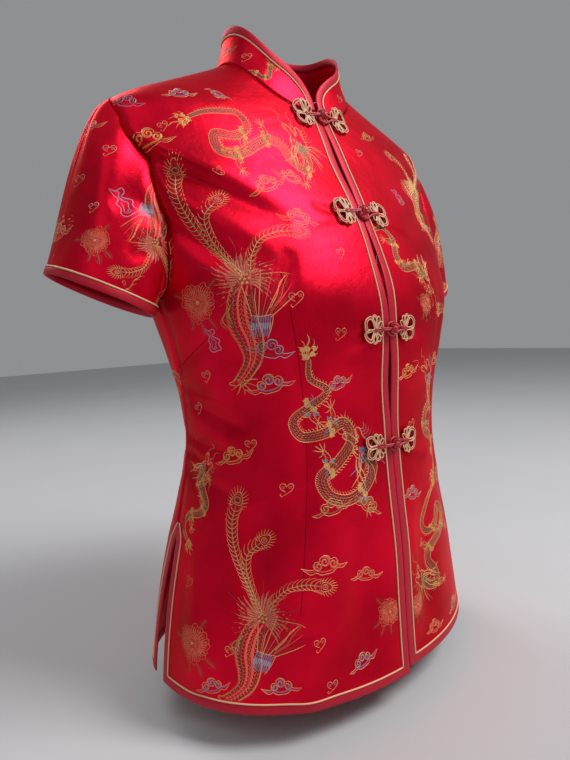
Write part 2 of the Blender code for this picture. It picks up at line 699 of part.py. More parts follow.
def add_sleeve(front, back, side, place):
    inner, outer, normals = sleeve_grid(front, back, side)
    add_wall("sleeve_" + place, inner, outer, SATIN, tube=True)
    border = Border(inner[-1], inner[-2], normals[-1], normals[-2])
    add_trims("sleeve_" + place, border, BINDING_GAP, closed=True)


def build():
    clear_scene()
    back = add_back()
    for side, place in ((RIGHT, "right"), (LEFT, "left")):
        front = add_front(side, place)
        add_sleeve(front, back, side, place)
    add_collar()
    add_frogs()


build()
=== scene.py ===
"""Dressed model of a mandarin collar blouse in satin brocade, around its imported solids.

Metres, +Z up, the wearer faces -Y. Each cloth piece is a thin shell on the form of its solid: the
same sections, darts and seams, with finer folds. The brocade is drawn with threads on the satin.
"""

import logging
import math
from dataclasses import dataclass, field
from enum import Enum
from typing import Any, Callable, Iterable, Sequence

import bpy
import numpy as np
from mathutils import Matrix

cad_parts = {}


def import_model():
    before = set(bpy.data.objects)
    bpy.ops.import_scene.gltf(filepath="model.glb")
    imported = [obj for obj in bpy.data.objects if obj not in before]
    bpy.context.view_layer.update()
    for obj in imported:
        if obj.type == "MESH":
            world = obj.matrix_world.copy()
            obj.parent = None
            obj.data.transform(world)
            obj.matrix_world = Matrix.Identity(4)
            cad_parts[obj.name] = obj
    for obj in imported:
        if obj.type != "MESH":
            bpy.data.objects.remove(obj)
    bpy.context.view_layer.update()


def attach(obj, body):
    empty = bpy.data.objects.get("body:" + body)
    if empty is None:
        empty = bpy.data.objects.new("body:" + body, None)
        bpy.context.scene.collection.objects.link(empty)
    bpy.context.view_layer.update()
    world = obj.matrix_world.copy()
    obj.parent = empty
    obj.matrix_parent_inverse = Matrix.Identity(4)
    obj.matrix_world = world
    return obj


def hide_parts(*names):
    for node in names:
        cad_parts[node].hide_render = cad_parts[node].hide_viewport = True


Array = np.ndarray
LOG = logging.getLogger("blouse")

RIGHT, LEFT = -1, 1
WALL = 0.0012
INNER_FACE = 0.0005
SEAM_GAP = 0.0003
BINDING_WIDTH = 0.008
SHOULDER_TIP = -0.068
UNDERARM = -0.248
SLIT_TOP = -0.482
SLIT_APEX = -0.470
HEM = -0.622
FROG_HEIGHTS = (-0.067, -0.173, -0.286, -0.398)
HEIGHT, HALF_WIDTH, FRONT, BACK, CORNER, CENTRE = range(6)

SECTIONS = np.array([
    # height, half width, front depth, back depth, corner, centre
    (-0.650, 0.196, 0.147, 0.124, 2.20, 0.002),
    (-0.600, 0.190, 0.146, 0.121, 2.20, 0.004),
    (-0.550, 0.181, 0.145, 0.114, 2.20, 0.005),
    (-0.500, 0.170, 0.141, 0.105, 2.20, 0.003),
    (-0.450, 0.157, 0.133, 0.094, 2.20, 0.000),
    (-0.400, 0.149, 0.124, 0.087, 2.20, -0.005),
    (-0.350, 0.152, 0.119, 0.087, 2.25, -0.009),
    (-0.300, 0.164, 0.119, 0.093, 2.35, -0.011),
    (-0.255, 0.176, 0.118, 0.100, 2.45, -0.010),
    (-0.210, 0.185, 0.108, 0.105, 2.40, -0.006),
    (-0.160, 0.196, 0.091, 0.106, 2.30, -0.001),
    (-0.120, 0.205, 0.077, 0.104, 2.20, 0.006),
    (-0.088, 0.209, 0.066, 0.099, 2.10, 0.010),
    (-0.072, 0.205, 0.060, 0.094, 2.05, 0.012),
    (-0.058, 0.183, 0.055, 0.089, 2.00, 0.014),
    (-0.044, 0.152, 0.050, 0.083, 2.00, 0.016),
    (-0.029, 0.118, 0.045, 0.074, 2.00, 0.018),
    (-0.016, 0.090, 0.042, 0.064, 2.00, 0.020),
    (-0.005, 0.070, 0.039, 0.053, 2.00, 0.021),
    (0.010, 0.060, 0.035, 0.044, 2.00, 0.022),
    (0.030, 0.054, 0.031, 0.035, 2.00, 0.023),
])

SEAM_LINE = np.array([
    # height, angle from the centre front in degrees
    (-0.640, 95.5), (-0.482, 94.5), (-0.400, 99.0), (-0.330, 94.0), (-0.285, 89.0), (-0.248, 90.0),
])

FOLDS = np.array([
    # first angle, first height, last angle, last height, half width, depth: darts and drag lines
    (-35.5, -0.215, -37.5, -0.520, 0.010, 0.0024),
    (35.5, -0.215, 37.5, -0.520, 0.010, 0.0024),
    (-92.0, -0.314, -64.0, -0.283, 0.010, 0.0022),
    (92.0, -0.314, 64.0, -0.283, 0.010, 0.0022),
    (150.0, -0.210, 152.0, -0.530, 0.012, 0.0030),
    (210.0, -0.210, 208.0, -0.530, 0.012, 0.0030),
    (104.0, -0.402, 134.0, -0.372, 0.012, 0.0032),
    (256.0, -0.392, 226.0, -0.376, 0.012, 0.0032),
    # right front: drag from the armhole to the bust, then finer ones; negative depths stand proud
    (-72.0, -0.118, -27.0, -0.188, 0.011, 0.0036),
    (-76.0, -0.098, -32.0, -0.152, 0.013, -0.0020),
    (-74.0, -0.176, -44.0, -0.232, 0.010, 0.0022),
    (-66.0, -0.150, -34.0, -0.214, 0.008, -0.0010),
    (-30.0, -0.212, -38.0, -0.262, 0.006, 0.0016),
    (-18.0, -0.168, -6.0, -0.176, 0.005, 0.0014),
    (-22.0, -0.196, -5.0, -0.184, 0.006, 0.0010),
    (-17.0, -0.292, -4.0, -0.287, 0.005, 0.0012),
    (-20.0, -0.312, -6.0, -0.298, 0.006, 0.0009),
    (-19.0, -0.382, -5.0, -0.396, 0.006, 0.0011),
    (-22.0, -0.420, -6.0, -0.402, 0.007, 0.0012),
    (-90.0, -0.345, -58.0, -0.372, 0.008, 0.0024),
    (-92.0, -0.332, -70.0, -0.342, 0.005, 0.0014),
    (-96.0, -0.384, -64.0, -0.396, 0.006, 0.0022),
    (-98.0, -0.398, -72.0, -0.414, 0.005, 0.0018),
    (-97.0, -0.414, -60.0, -0.438, 0.008, 0.0020),
    (-60.0, -0.300, -40.0, -0.330, 0.009, 0.0014),
    (-56.0, -0.440, -44.0, -0.610, 0.016, 0.0026),
    (-20.0, -0.455, -14.0, -0.615, 0.016, 0.0030),
    (-74.0, -0.480, -70.0, -0.615, 0.018, -0.0024),
    (-36.0, -0.560, -33.0, -0.632, 0.014, -0.0018),
    # left front
    (20.0, -0.186, 66.0, -0.122, 0.013, 0.0028),
    (5.0, -0.178, 24.0, -0.200, 0.006, 0.0013),
    (4.0, -0.290, 19.0, -0.305, 0.006, 0.0012),
    (5.0, -0.402, 24.0, -0.420, 0.007, 0.0013),
    (46.0, -0.230, 76.0, -0.178, 0.010, 0.0020),
    (60.0, -0.374, 94.0, -0.352, 0.008, 0.0022),
    (66.0, -0.400, 97.0, -0.388, 0.006, 0.0020),
    (62.0, -0.436, 96.0, -0.412, 0.008, 0.0018),
    (16.0, -0.450, 12.0, -0.612, 0.015, 0.0026),
    (48.0, -0.450, 56.0, -0.612, 0.017, 0.0024),
    (74.0, -0.490, 78.0, -0.612, 0.018, -0.0020),
    # back
    (112.0, -0.150, 148.0, -0.205, 0.014, 0.0030),
    (250.0, -0.142, 214.0, -0.212, 0.015, 0.0028),
    (168.0, -0.180, 174.0, -0.310, 0.018, 0.0018),
    (196.0, -0.240, 188.0, -0.360, 0.016, 0.0022),
    (110.0, -0.352, 146.0, -0.338, 0.008, 0.0022),
    (248.0, -0.346, 216.0, -0.330, 0.009, 0.0020),
    (108.0, -0.424, 138.0, -0.398, 0.008, 0.0024),
    (250.0, -0.430, 222.0, -0.404, 0.007, 0.0026),
    (160.0, -0.352, 200.0, -0.360, 0.010, 0.0020),
    (158.0, -0.392, 198.0, -0.384, 0.008, 0.0018),
    (128.0, -0.450, 122.0, -0.612, 0.018, 0.0030),
    (172.0, -0.440, 168.0, -0.612, 0.018, 0.0026),
    (196.0, -0.460, 202.0, -0.612, 0.016, 0.0028),
    (232.0, -0.450, 240.0, -0.612, 0.018, 0.0030),
])
FOLD_RADIUS = 0.15
DARTS = 8
# the creases are drawn at these multiples of their depths; those that end below HIP are the deeper
CREASE_DEPTH, SKIRT_CREASE_DEPTH, HIP = 1.5, 2.3, -0.56
DART_SEAMS = (
    # the stitched lines: first angle, first height, last angle, last height
    (-35.8, -0.232, -37.4, -0.540), (35.8, -0.232, 37.4, -0.540), (-92.0, -0.314, -66.0, -0.285),
    (92.0, -0.314, 66.0, -0.285), (150.2, -0.225, 151.8, -0.520), (209.8, -0.225, 208.2, -0.520),
)
SLEEVE_FOLDS = {
    # angle round the sleeve from the shoulder in degrees, share down, the same at the end,
    # half width, depth
    RIGHT: ((-104, 0.10, -58, 0.50, 0.0085, 0.0034), (-118, 0.28, -84, 0.66, 0.007, 0.0024),
            (-58, 0.06, -30, 0.46, 0.011, -0.0018), (-34, 0.30, -14, 0.92, 0.013, 0.0024),
            (30, 0.10, 44, 0.60, 0.011, 0.0022), (70, 0.12, 108, 0.52, 0.009, 0.0030),
            (128, 0.20, 150, 0.70, 0.008, 0.0024), (-140, 0.20, -160, 0.70, 0.008, 0.0026)),
    LEFT: ((-96, 0.14, -62, 0.56, 0.009, 0.0030), (-124, 0.24, -92, 0.60, 0.007, 0.0022),
           (-44, 0.10, -20, 0.66, 0.012, 0.0020), (20, 0.20, 34, 0.90, 0.013, 0.0024),
           (66, 0.10, 102, 0.46, 0.009, 0.0030), (120, 0.24, 146, 0.64, 0.008, 0.0022),
           (-150, 0.26, -168, 0.76, 0.008, 0.0024)),
}


# Shader helpers


class Sock:
    """A shader socket or number whose arithmetic adds Math nodes to its material."""

    def __init__(self, shader: "Shader", source: Any) -> None:
        """Wrap a socket of that shader."""
        self.shader, self.source = shader, source

    def _math(self, operation: str, first: Any, second: Any = None) -> "Sock":
        """Add one Math node of that operation."""
        values = {0: first} if second is None else {0: first, 1: second}
        return self.shader.node("ShaderNodeMath", {"operation": operation}, values)

    def __add__(self, other: Any) -> "Sock":
        """Sum."""
        return self._math("ADD", self, other)

    def __radd__(self, other: Any) -> "Sock":
        """Sum, reflected."""
        return self._math("ADD", other, self)

    def __sub__(self, other: Any) -> "Sock":
        """Difference."""
        return self._math("SUBTRACT", self, other)

    def __rsub__(self, other: Any) -> "Sock":
        """Difference, reflected."""
        return self._math("SUBTRACT", other, self)

    def __mul__(self, other: Any) -> "Sock":
        """Product."""
        return self._math("MULTIPLY", self, other)

    def __rmul__(self, other: Any) -> "Sock":
        """Product, reflected."""
        return self._math("MULTIPLY", other, self)

    def sine(self) -> "Sock":
        """Sine of radians."""
        return self._math("SINE", self)

    def size(self) -> "Sock":
        """Absolute value."""
        return self._math("ABSOLUTE", self)


class Shader:
    """A node material under construction."""

    def __init__(self, name: str) -> None:
        """Start a material with one Principled shader."""
        self.material = bpy.data.materials.new(name)
        self.material.use_nodes = True
        self.tree = self.material.node_tree
        self.principled = self.tree.nodes["Principled BSDF"]

    def node(self, kind: str, settings: dict[str, Any], values: dict[Any, Any],
             output: Any = 0) -> Sock:
        """Add one node.

        Args:
            kind: the node's type.
            settings: properties, set first.
            values: numbers, colours or Socks for the input sockets.
            output: the output socket to return.

        Returns:
            The wrapped output.
        """
        made = self.tree.nodes.new(kind)
        for name, value in settings.items():
            setattr(made, name, value)
        for name, value in values.items():
            self.put(made.inputs[name], value)
        return Sock(self, made.outputs[output])

    def put(self, socket: Any, value: Any) -> None:
        """Link a Sock or set a constant on a socket."""
        if isinstance(value, Sock):
            self.tree.links.new(value.source, socket)
        else:
            socket.default_value = value

    def set(self, **values: Any) -> None:
        """Set the Principled shader's sockets; underscores stand for spaces."""
        for name, value in values.items():
            if isinstance(value, tuple) and len(value) == 3:
                value = (*value, 1.0)
            self.put(self.principled.inputs[name.replace("_", " ")], value)

    def mix(self, factor: Any, first: Any, second: Any) -> Sock:
        """Mix two colours by a factor."""
        colours = [(*c, 1.0) if isinstance(c, tuple) else c for c in (first, second)]
        return self.node("ShaderNodeMix", {"data_type": "RGBA"},
                         {0: factor, 6: colours[0], 7: colours[1]}, 2)

    def coordinates(self, kind: str = "Object") -> Sock:
        """Object coordinates, or the piece's UV map."""
        return self.node("ShaderNodeTexCoord", {}, {}, kind)

    def noise(self, where: Any, scale: float, detail: float = 2.0, rough: float = 0.5) -> Sock:
        """Smooth noise from 0 to 1."""
        return self.node("ShaderNodeTexNoise", {},
                         {"Vector": where, "Scale": scale, "Detail": detail, "Roughness": rough})

    def split(self, vector: Sock) -> tuple[Sock, Sock, Sock]:
        """The three parts of a vector."""
        made = self.node("ShaderNodeSeparateXYZ", {}, {0: vector})
        outputs = made.source.node.outputs
        return Sock(self, outputs[0]), Sock(self, outputs[1]), Sock(self, outputs[2])

    def bump(self, height: Sock, strength: float, distance: float) -> None:
        """Feed the Normal from a height."""
        self.set(Normal=self.node("ShaderNodeBump", {},
                                  {"Strength": strength, "Distance": distance, "Height": height}))


@dataclass(frozen=True)
class SatinFinish:
    """Crimson satin: long floats that run down the cloth, in a faint stripe of the loom, with painted sheen
    and painted shade.
    """

    base: tuple[float, float, float] = (0.78, 0.0026, 0.027)
    # the colour of the random patches of painted shade
    deep: tuple[float, float, float] = (0.36, 0.0006, 0.008)
    # the colour of the painted sheen on the floats
    painted_sheen: tuple[float, float, float] = (0.90, 0.012, 0.045)
    # the colour of the painted shade along the darts' sewn lines
    seam_shade: tuple[float, float, float] = (0.16, 0.0005, 0.004)
    roughness: float = 0.33
    float_scale: float = 2600.0
    weft_scale: float = 9000.0
    seam_sharpness: float = 1400.0
    name: str = "crimson satin brocade"

    def material(self) -> bpy.types.Material:
        """Build the material from the piece's own UV map, which is the cloth's flat plan."""
        s = Shader(self.name)
        plan = s.coordinates("UV")
        _, down, _ = s.split(plan)
        stretched = s.node("ShaderNodeMapping", {}, {"Vector": plan, "Scale": (1.0, 0.07, 1.0)})
        floats = s.noise(stretched, self.float_scale, 1.0)
        stripe = s.noise(s.node("ShaderNodeMapping", {}, {"Vector": plan, "Scale": (1, 0.02, 1)}), 420.0, 2.0)
        # painted shade: large random patches darken the satin towards deep, standing in for the soft shade of
        # wrinkles
        shade_patches = s.noise(plan, 11.0, 3.0)
        tone = s.mix(s.node("ShaderNodeClamp", {}, {"Value": (shade_patches - 0.36) * 2.4}), self.base, self.deep)
        # painted sheen: the floats are lightened towards a brighter crimson where their noise strays from its
        # middle
        tone = s.mix((floats - 0.5).size() * 0.6, tone, self.painted_sheen)
        seam, _, _ = s.split(s.node("ShaderNodeAttribute", {"attribute_name": "darts"}, {}, "Vector"))
        near = 1.0 - (seam - 1.0).size() * self.seam_sharpness
        groove_and_shade = s.node("ShaderNodeClamp", {}, {"Value": near})
        # painted shade: the satin darkens almost to black along the darts' sewn lines, where their grooves
        # are shaded
        tone = s.mix(groove_and_shade * 0.75, tone, self.seam_shade)
        s.set(Base_Color=tone, Metallic=0.66, Specular_IOR_Level=0.35, Specular_Tint=(1.0, 0.12, 0.16),
              Roughness=self.roughness + (stripe - 0.5) * 0.12 + (floats - 0.5) * 0.10)
        weft = (down * self.weft_scale).sine() * 0.25
        soft = s.noise(plan, 26.0, 3.0, 0.55)
        s.bump(soft * 0.9 + floats * 0.035 + weft * 0.03 + stripe * 0.03 - groove_and_shade * 0.4, 0.9, 0.0011)
        return s.material


@dataclass(frozen=True)
class BindingFinish:
    """Coral red satin cut on the bias: a fine slanting rib."""

    base: tuple[float, float, float] = (0.50, 0.012, 0.032)
    light: tuple[float, float, float] = (0.64, 0.034, 0.062)
    roughness: float = 0.46
    name: str = "coral red bias satin"

    def material(self) -> bpy.types.Material:
        """Build the material from the strip's own UV map: along, and across."""
        s = Shader(self.name)
        plan = s.coordinates("UV")
        along, across, _ = s.split(plan)
        rib = ((along + across) * 7500.0).sine()
        wander = s.noise(plan, 260.0, 3.0)
        tone = s.mix(wander * 0.6, self.base, self.light)
        s.set(Base_Color=s.mix((rib * 0.5 + 0.5) * 0.25, tone, (0.40, 0.008, 0.022)),
              Roughness=self.roughness + (wander - 0.5) * 0.12,
              Metallic=0.25, Specular_IOR_Level=0.4, Specular_Tint=(1.0, 0.35, 0.38))
        s.bump(rib * 0.4 + wander, 0.35, 0.00015)
        return s.material


@dataclass(frozen=True)
class CordFinish:
    """Twisted or satin covered cord in one colour."""

    name: str
    base: tuple[float, float, float]
    dark: tuple[float, float, float]
    roughness: float = 0.42
    metallic: float = 0.0
    twist: float = 5200.0

    def material(self) -> bpy.types.Material:
        """Build the material: UV runs along the cord and round it."""
        s = Shader(self.name)
        plan = s.coordinates("UV")
        along, across, _ = s.split(plan)
        strand = ((along + across * 0.6) * self.twist).sine()
        wander = s.noise(s.coordinates(), 900.0, 2.0)
        s.set(Base_Color=s.mix((strand * 0.5 + 0.5) * 0.45 + wander * 0.25, self.base, self.dark),
              Roughness=self.roughness + (wander - 0.5) * 0.2, Metallic=self.metallic,
              Specular_IOR_Level=0.55)
        s.bump(strand, 0.3, 0.0001)
        return s.material


class Thread(Enum):
    """The threads of the brocade, each with its finish."""

    GOLD = CordFinish("gold thread", (0.60, 0.25, 0.06), (0.36, 0.11, 0.025), 0.40, 0.15)
    PALE = CordFinish("pale gold thread", (0.84, 0.46, 0.17), (0.56, 0.24, 0.07), 0.40, 0.10)
    ORANGE = CordFinish("orange thread", (0.82, 0.28, 0.02), (0.50, 0.12, 0.01), 0.4, 0.1)
    BLUE = CordFinish("blue thread", (0.09, 0.22, 0.42), (0.05, 0.11, 0.24), 0.4)
    SKY = CordFinish("sky blue thread", (0.28, 0.40, 0.52), (0.16, 0.22, 0.34), 0.4)
    OLIVE = CordFinish("olive thread", (0.17, 0.16, 0.045), (0.09, 0.075, 0.02), 0.45)
    CORAL = CordFinish("coral thread", (0.82, 0.145, 0.090), (0.60, 0.050, 0.035), 0.45)
    BROWN = CordFinish("brown thread", (0.12, 0.012, 0.010), (0.06, 0.004, 0.004), 0.50)


# Numbers and meshes


def unit(vectors: Array) -> Array:
    """Vectors divided by their own lengths."""
    return vectors / np.maximum(np.linalg.norm(vectors, axis=-1, keepdims=True), 1e-12)


def quads(rows: int, columns: int, wrap_rows: bool = False, wrap_columns: bool = False) -> Array:
    """Corner numbers of every cell of a grid of points, kept in one turning direction."""
    index = np.arange(rows * columns).reshape(rows, columns)
    if wrap_rows:
        index = np.concatenate([index, index[:1]])
    if wrap_columns:
        index = np.concatenate([index, index[:, :1]], axis=1)
    cells = [index[:-1, :-1], index[:-1, 1:], index[1:, 1:], index[1:, :-1]]
    return np.stack([c.ravel() for c in cells], axis=1)


def make_piece(name: str, points: Array, faces: Array, plan: Array, materials: Sequence[Any],
               kinds: Array | None = None, smooth: bool = True) -> bpy.types.Object:
    """Put arrays into a mesh object.

    Args:
        name: the piece's name.
        points: n x 3 positions in metres.
        faces: m x 3 or m x 4 corner numbers, turning outwards.
        plan: n x 2 UV positions, one for each point.
        materials: the piece's materials.
        kinds: for each face, the number of its material.
        smooth: shade smoothly.

    Returns:
        The object, which rides on the root body.
    """
    mesh = bpy.data.meshes.new(name)
    size = faces.shape[1]
    corners = points[faces]
    volume = np.sum(corners[:, 0] * np.cross(corners[:, 1], corners[:, 2]))
    if size == 4:
        volume += np.sum(corners[:, 0] * np.cross(corners[:, 2], corners[:, 3]))
    if volume < 0:
        faces = faces[:, ::-1]
    mesh.vertices.add(len(points))
    mesh.vertices.foreach_set("co", np.ascontiguousarray(points, np.float32).ravel())
    mesh.loops.add(faces.size)
    mesh.loops.foreach_set("vertex_index", np.ascontiguousarray(faces, np.int32).ravel())
    mesh.polygons.add(len(faces))
    mesh.polygons.foreach_set("loop_start", np.arange(len(faces), dtype=np.int32) * size)
    mesh.update(calc_edges=True)
    layer = mesh.uv_layers.new(name="plan")
    layer.data.foreach_set("uv", np.ascontiguousarray(plan[faces.ravel()], np.float32).ravel())
    for one in materials:
        mesh.materials.append(one)
    if kinds is not None:
        mesh.polygons.foreach_set("material_index", np.ascontiguousarray(kinds, np.int32))
    mesh.polygons.foreach_set("use_smooth", np.full(len(faces), smooth))
    mesh.validate()
    made = bpy.data.objects.new(name, mesh)
    bpy.context.scene.collection.objects.link(made)
    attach(made, "root")
    LOG.info("%s: %d points, %d faces", name, len(points), len(faces))
    return made


def read_grid(grid: Array, rows: Array, columns: Array) -> Array:
    """Read a grid at fractions of its rows and columns, blending its four nearest points."""
    i = np.clip(np.floor(rows).astype(int), 0, grid.shape[0] - 2)
    j = np.clip(np.floor(columns).astype(int), 0, grid.shape[1] - 2)
    a, b = (rows - i)[..., None], (columns - j)[..., None]
    return ((1 - a) * ((1 - b) * grid[i, j] + b * grid[i, j + 1])
            + a * ((1 - b) * grid[i + 1, j] + b * grid[i + 1, j + 1]))


def walked(points: Array, axis: int = 0) -> Array:
    """Length walked along an axis of a grid of points, from 0."""
    steps = np.linalg.norm(np.diff(points, axis=axis), axis=-1)
    start = np.zeros_like(np.take(steps, [0], axis=axis))
    return np.concatenate([start, np.cumsum(steps, axis=axis)], axis=axis)


def leftward(way: Array) -> Array:
    """Each of n x 2 vectors, turned a quarter to the left."""
    return np.stack([-way[:, 1], way[:, 0]], axis=-1)


def heading(way: Array) -> float:
    """Direction of a flat vector in degrees, from x towards y."""
    return math.degrees(math.atan2(way[1], way[0]))


def polar(degrees: float) -> tuple[float, float]:
    """Cosine and sine of an angle in degrees."""
    return math.cos(math.radians(degrees)), math.sin(math.radians(degrees))


def curve_through(controls: Any, step: float, closed: bool = False) -> Array:
    """Points at even steps on a smooth curve.

    Each span is the cubic whose tangents are half the chord of its neighbours.

    Args:
        controls: the points that the curve passes.
        step: distance between the points made.
        closed: join the last point to the first.

    Returns:
        n x dimensions points.
    """
    p = np.asarray(controls, float)
    if closed:
        p = np.concatenate([p[-1:], p, p[:2]])
    else:
        p = np.concatenate([2 * p[:1] - p[1:2], p, 2 * p[-1:] - p[-2:-1]])
    t = np.linspace(0, 1, 9)[:-1, None, None]
    a, b, c, d = p[None, :-3], p[None, 1:-2], p[None, 2:-1], p[None, 3:]
    dense = 0.5 * (2 * b + (c - a) * t + (2 * a - 5 * b + 4 * c - d) * t ** 2
                   + (3 * b - a - 3 * c + d) * t ** 3)
    dense = dense.transpose(1, 0, 2).reshape(-1, p.shape[1])
    dense = np.concatenate([dense, p[-2:-1]])
    length = walked(dense)
    count = max(int(round(length[-1] / step)), 3)
    stops = np.linspace(0, length[-1], count + 1)
    return np.stack([np.interp(stops, length, dense[:, k]) for k in range(p.shape[1])], axis=1)


# The form of the blouse


@dataclass
class Form:
    """The sections that the cloth passes through, with its darts and folds."""

    neck_half_width: float = 0.077
    neck_front: float = 0.056
    neck_back: float = 0.054
    neck_centre: float = 0.014
    neck_corner: float = 2.4

    def column(self, column: int, height: Array) -> Array:
        """Value of a column of SECTIONS at any height: a cubic between rows with their mean slopes."""
        x, y = SECTIONS[:, HEIGHT], SECTIONS[:, column]
        slope = np.gradient(y, x)
        i = np.clip(np.searchsorted(x, height) - 1, 0, len(x) - 2)
        span = x[i + 1] - x[i]
        t = (height - x[i]) / span
        start = (1 + 2 * t) * (1 - t) ** 2 * y[i] + t * (1 - t) ** 2 * span * slope[i]
        return start + t * t * (3 - 2 * t) * y[i + 1] + t * t * (t - 1) * span * slope[i + 1]

    def trough(self, angle: Array, height: Array) -> Array:
        """How far the folds sink the cloth: a bell across each line times a half wave along it."""
        angle, height = np.broadcast_arrays(angle, height)
        depth = np.zeros(angle.shape)
        for number, (first, first_height, last, last_height, width, deep) in enumerate(FOLDS):
            if number >= DARTS:
                deep = deep * (SKIRT_CREASE_DEPTH if last_height < HIP else CREASE_DEPTH)
            low, high = sorted((first_height, last_height))
            near = (height > low - 2.7 * width) & (height < high + 2.7 * width)
            if not near.any():
                continue
            turned = np.mod(angle[near] - math.radians(first) + np.pi, 2 * np.pi) - np.pi
            run = np.array([math.radians(last - first) * FOLD_RADIUS, last_height - first_height])
            length = np.hypot(*run)
            across, up = turned * FOLD_RADIUS, height[near] - first_height
            along = (across * run[0] + up * run[1]) / length ** 2
            aside = (across * run[1] - up * run[0]) / length
            swell = np.sin(np.pi * np.clip(along, 0, 1)) ** 0.7
            depth[near] += deep * swell * np.exp(-(aside / width) ** 2)
        return depth

    def seams(self, grid: Array) -> Array:
        """One plus the distance in metres from the nearest dart's sewn line, for the finish's groove and
        painted shade.
        """
        nearest = np.full(grid.shape[:2], 0.5)
        for first, first_height, last, last_height in DART_SEAMS:
            turned = np.mod(grid[..., 0] - math.radians(first) + np.pi, 2 * np.pi) - np.pi
            run = np.array([math.radians(last - first) * FOLD_RADIUS, last_height - first_height])
            across, up = turned * FOLD_RADIUS, grid[..., 1] - first_height
            along = (across * run[0] + up * run[1]) / (run @ run)
            aside = (across * run[1] - up * run[0]) / np.hypot(*run)
            hit = (along > 0) & (along < 1) & (np.abs(aside) < 0.008)
            nearest = np.where(hit, aside, nearest)
        return 1 + nearest

    def point(self, angle: Array, height: Array) -> Array:
        """Point on the cloth's inner face; angle 0 is centre front, 90 degrees the wearer's left."""
        corner = self.column(CORNER, height)
        sine, cosine = np.sin(angle), np.cos(angle)
        reach = (np.abs(sine) ** corner + np.abs(cosine) ** corner) ** (-1 / corner)
        half = self.column(HALF_WIDTH, height)
        depth = np.where(cosine > 0, self.column(FRONT, height), self.column(BACK, height))
        reach = reach * (1 - self.trough(angle, height) / np.minimum(half, depth))
        y = self.column(CENTRE, height) - depth * cosine * reach
        return np.stack([half * sine * reach, y, height + 0 * y], axis=-1)

    def normal(self, angle: Array, height: Array) -> Array:
        """Unit normal of the form: the cross product of its two tangents."""
        step = 0.0006
        across = self.point(angle + step, height) - self.point(angle - step, height)
        up = self.point(angle, height + step) - self.point(angle, height - step)
        return unit(np.cross(across, up))

    def neck(self, angle: Array) -> Array:
        """Height at which the form passes the neckline's oval at an angle, found by halving."""
        low, high = np.full(np.shape(angle), -0.100), np.full(np.shape(angle), 0.029)
        for _ in range(30):
            middle = (low + high) / 2
            x, y, _ = np.moveaxis(self.point(angle, middle), -1, 0)
            depth = np.where(y < self.neck_centre, self.neck_front, self.neck_back)
            across, along = np.abs(x / self.neck_half_width), np.abs((y - self.neck_centre) / depth)
            outside = across ** self.neck_corner + along ** self.neck_corner > 1
            low, high = np.where(outside, middle, low), np.where(outside, high, middle)
        return (low + high) / 2

    def angle_from_side(self, y: Array, height: Array, side: int) -> Array:
        """Angle of the point at depth y on the wearer's right or left at a height."""
        offset = self.column(CENTRE, height) - y
        depth = np.where(offset > 0, self.column(FRONT, height), self.column(BACK, height))
        share = np.clip(offset / depth, -1, 1)
        corner = self.column(CORNER, height)
        return np.arctan2(side * (1 - np.abs(share) ** corner) ** (1 / corner), share)

    def angle_from_middle(self, x: Array, height: Array) -> Array:
        """Angle of the point at x on the front at a height."""
        share = x / self.column(HALF_WIDTH, height)
        corner = self.column(CORNER, height)
        return np.arctan2(share, (1 - np.abs(share) ** corner) ** (1 / corner))


FORM = Form()


@dataclass
class PanelCut:
    """Rows and columns of a panel, and the lines of its slit, side seam, armhole and shoulder."""

    slit_rows: int = 54
    seam_rows: int = 84
    armhole_rows: int = 64
    shoulder_rows: int = 20
    slit_gap: float = 0.0016
    slit_spread: float = 0.0105
    armhole_front: float = 0.055
    armhole_back: float = 0.060

    @property
    def arm_row(self) -> int:
        """Row of the underarm."""
        return self.slit_rows + self.seam_rows

    def side_line(self, side: int, back: bool) -> tuple[Array, Array]:
        """Angles and heights up a panel's side, from the hem to the neckline."""
        slit = np.append(HEM, np.linspace(HEM + BINDING_WIDTH, SLIT_TOP, self.slit_rows))[:-1]
        seam = np.linspace(SLIT_TOP, UNDERARM, self.seam_rows + 1)
        turn = np.linspace(0, np.pi, self.armhole_rows + 1)[1:-1]
        arm = UNDERARM + (SHOULDER_TIP - UNDERARM) * (1 - np.cos(turn)) / 2
        shoulder = np.linspace(SHOULDER_TIP, FORM.neck(np.pi / 2), self.shoulder_rows + 1)
        plain = np.append(slit, seam)
        below = np.clip((SLIT_TOP - plain) / (SLIT_TOP - HEM), 0, 1)
        gap = SEAM_GAP / 2 + (self.slit_gap + self.slit_spread * below ** 0.6) * np.clip(below / 0.04, 0, 1)
        quarter = gap / np.where(back, FORM.column(BACK, plain), FORM.column(FRONT, plain))
        seam_angle = np.radians(np.interp(plain, SEAM_LINE[:, 0], SEAM_LINE[:, 1]))
        start, end = FORM.column(CENTRE, UNDERARM), FORM.column(CENTRE, SHOULDER_TIP)
        bow = self.armhole_back if back else -self.armhole_front
        middle = start + (end - start) * turn / np.pi + bow * np.sin(turn) * (1 - turn / np.pi) ** 0.6
        armhole = np.abs(FORM.angle_from_side(middle, arm, side))
        way = 1 if back else -1
        ridge = np.pi / 2 + way * SEAM_GAP / 2 / FORM.column(BACK if back else FRONT, shoulder)
        angles = side * np.concatenate([seam_angle + way * quarter, armhole, ridge])
        return angles, np.concatenate([plain, arm, shoulder])


def patch(start: Array, end: Array, foot: Array, top: Array, share: Array) -> Array:
    """Angles and heights over a panel: the two blends of facing borders, less that of the corners."""
    u = np.linspace(0, 1, foot.shape[0])[None, :, None]
    v = share[:, None, None]
    corners = (1 - u) * ((1 - v) * foot[0] + v * top[0]) + u * ((1 - v) * foot[-1] + v * top[-1])
    return (1 - v) * foot[None] + v * top[None] + (1 - u) * start[:, None] + u * end[:, None] - corners


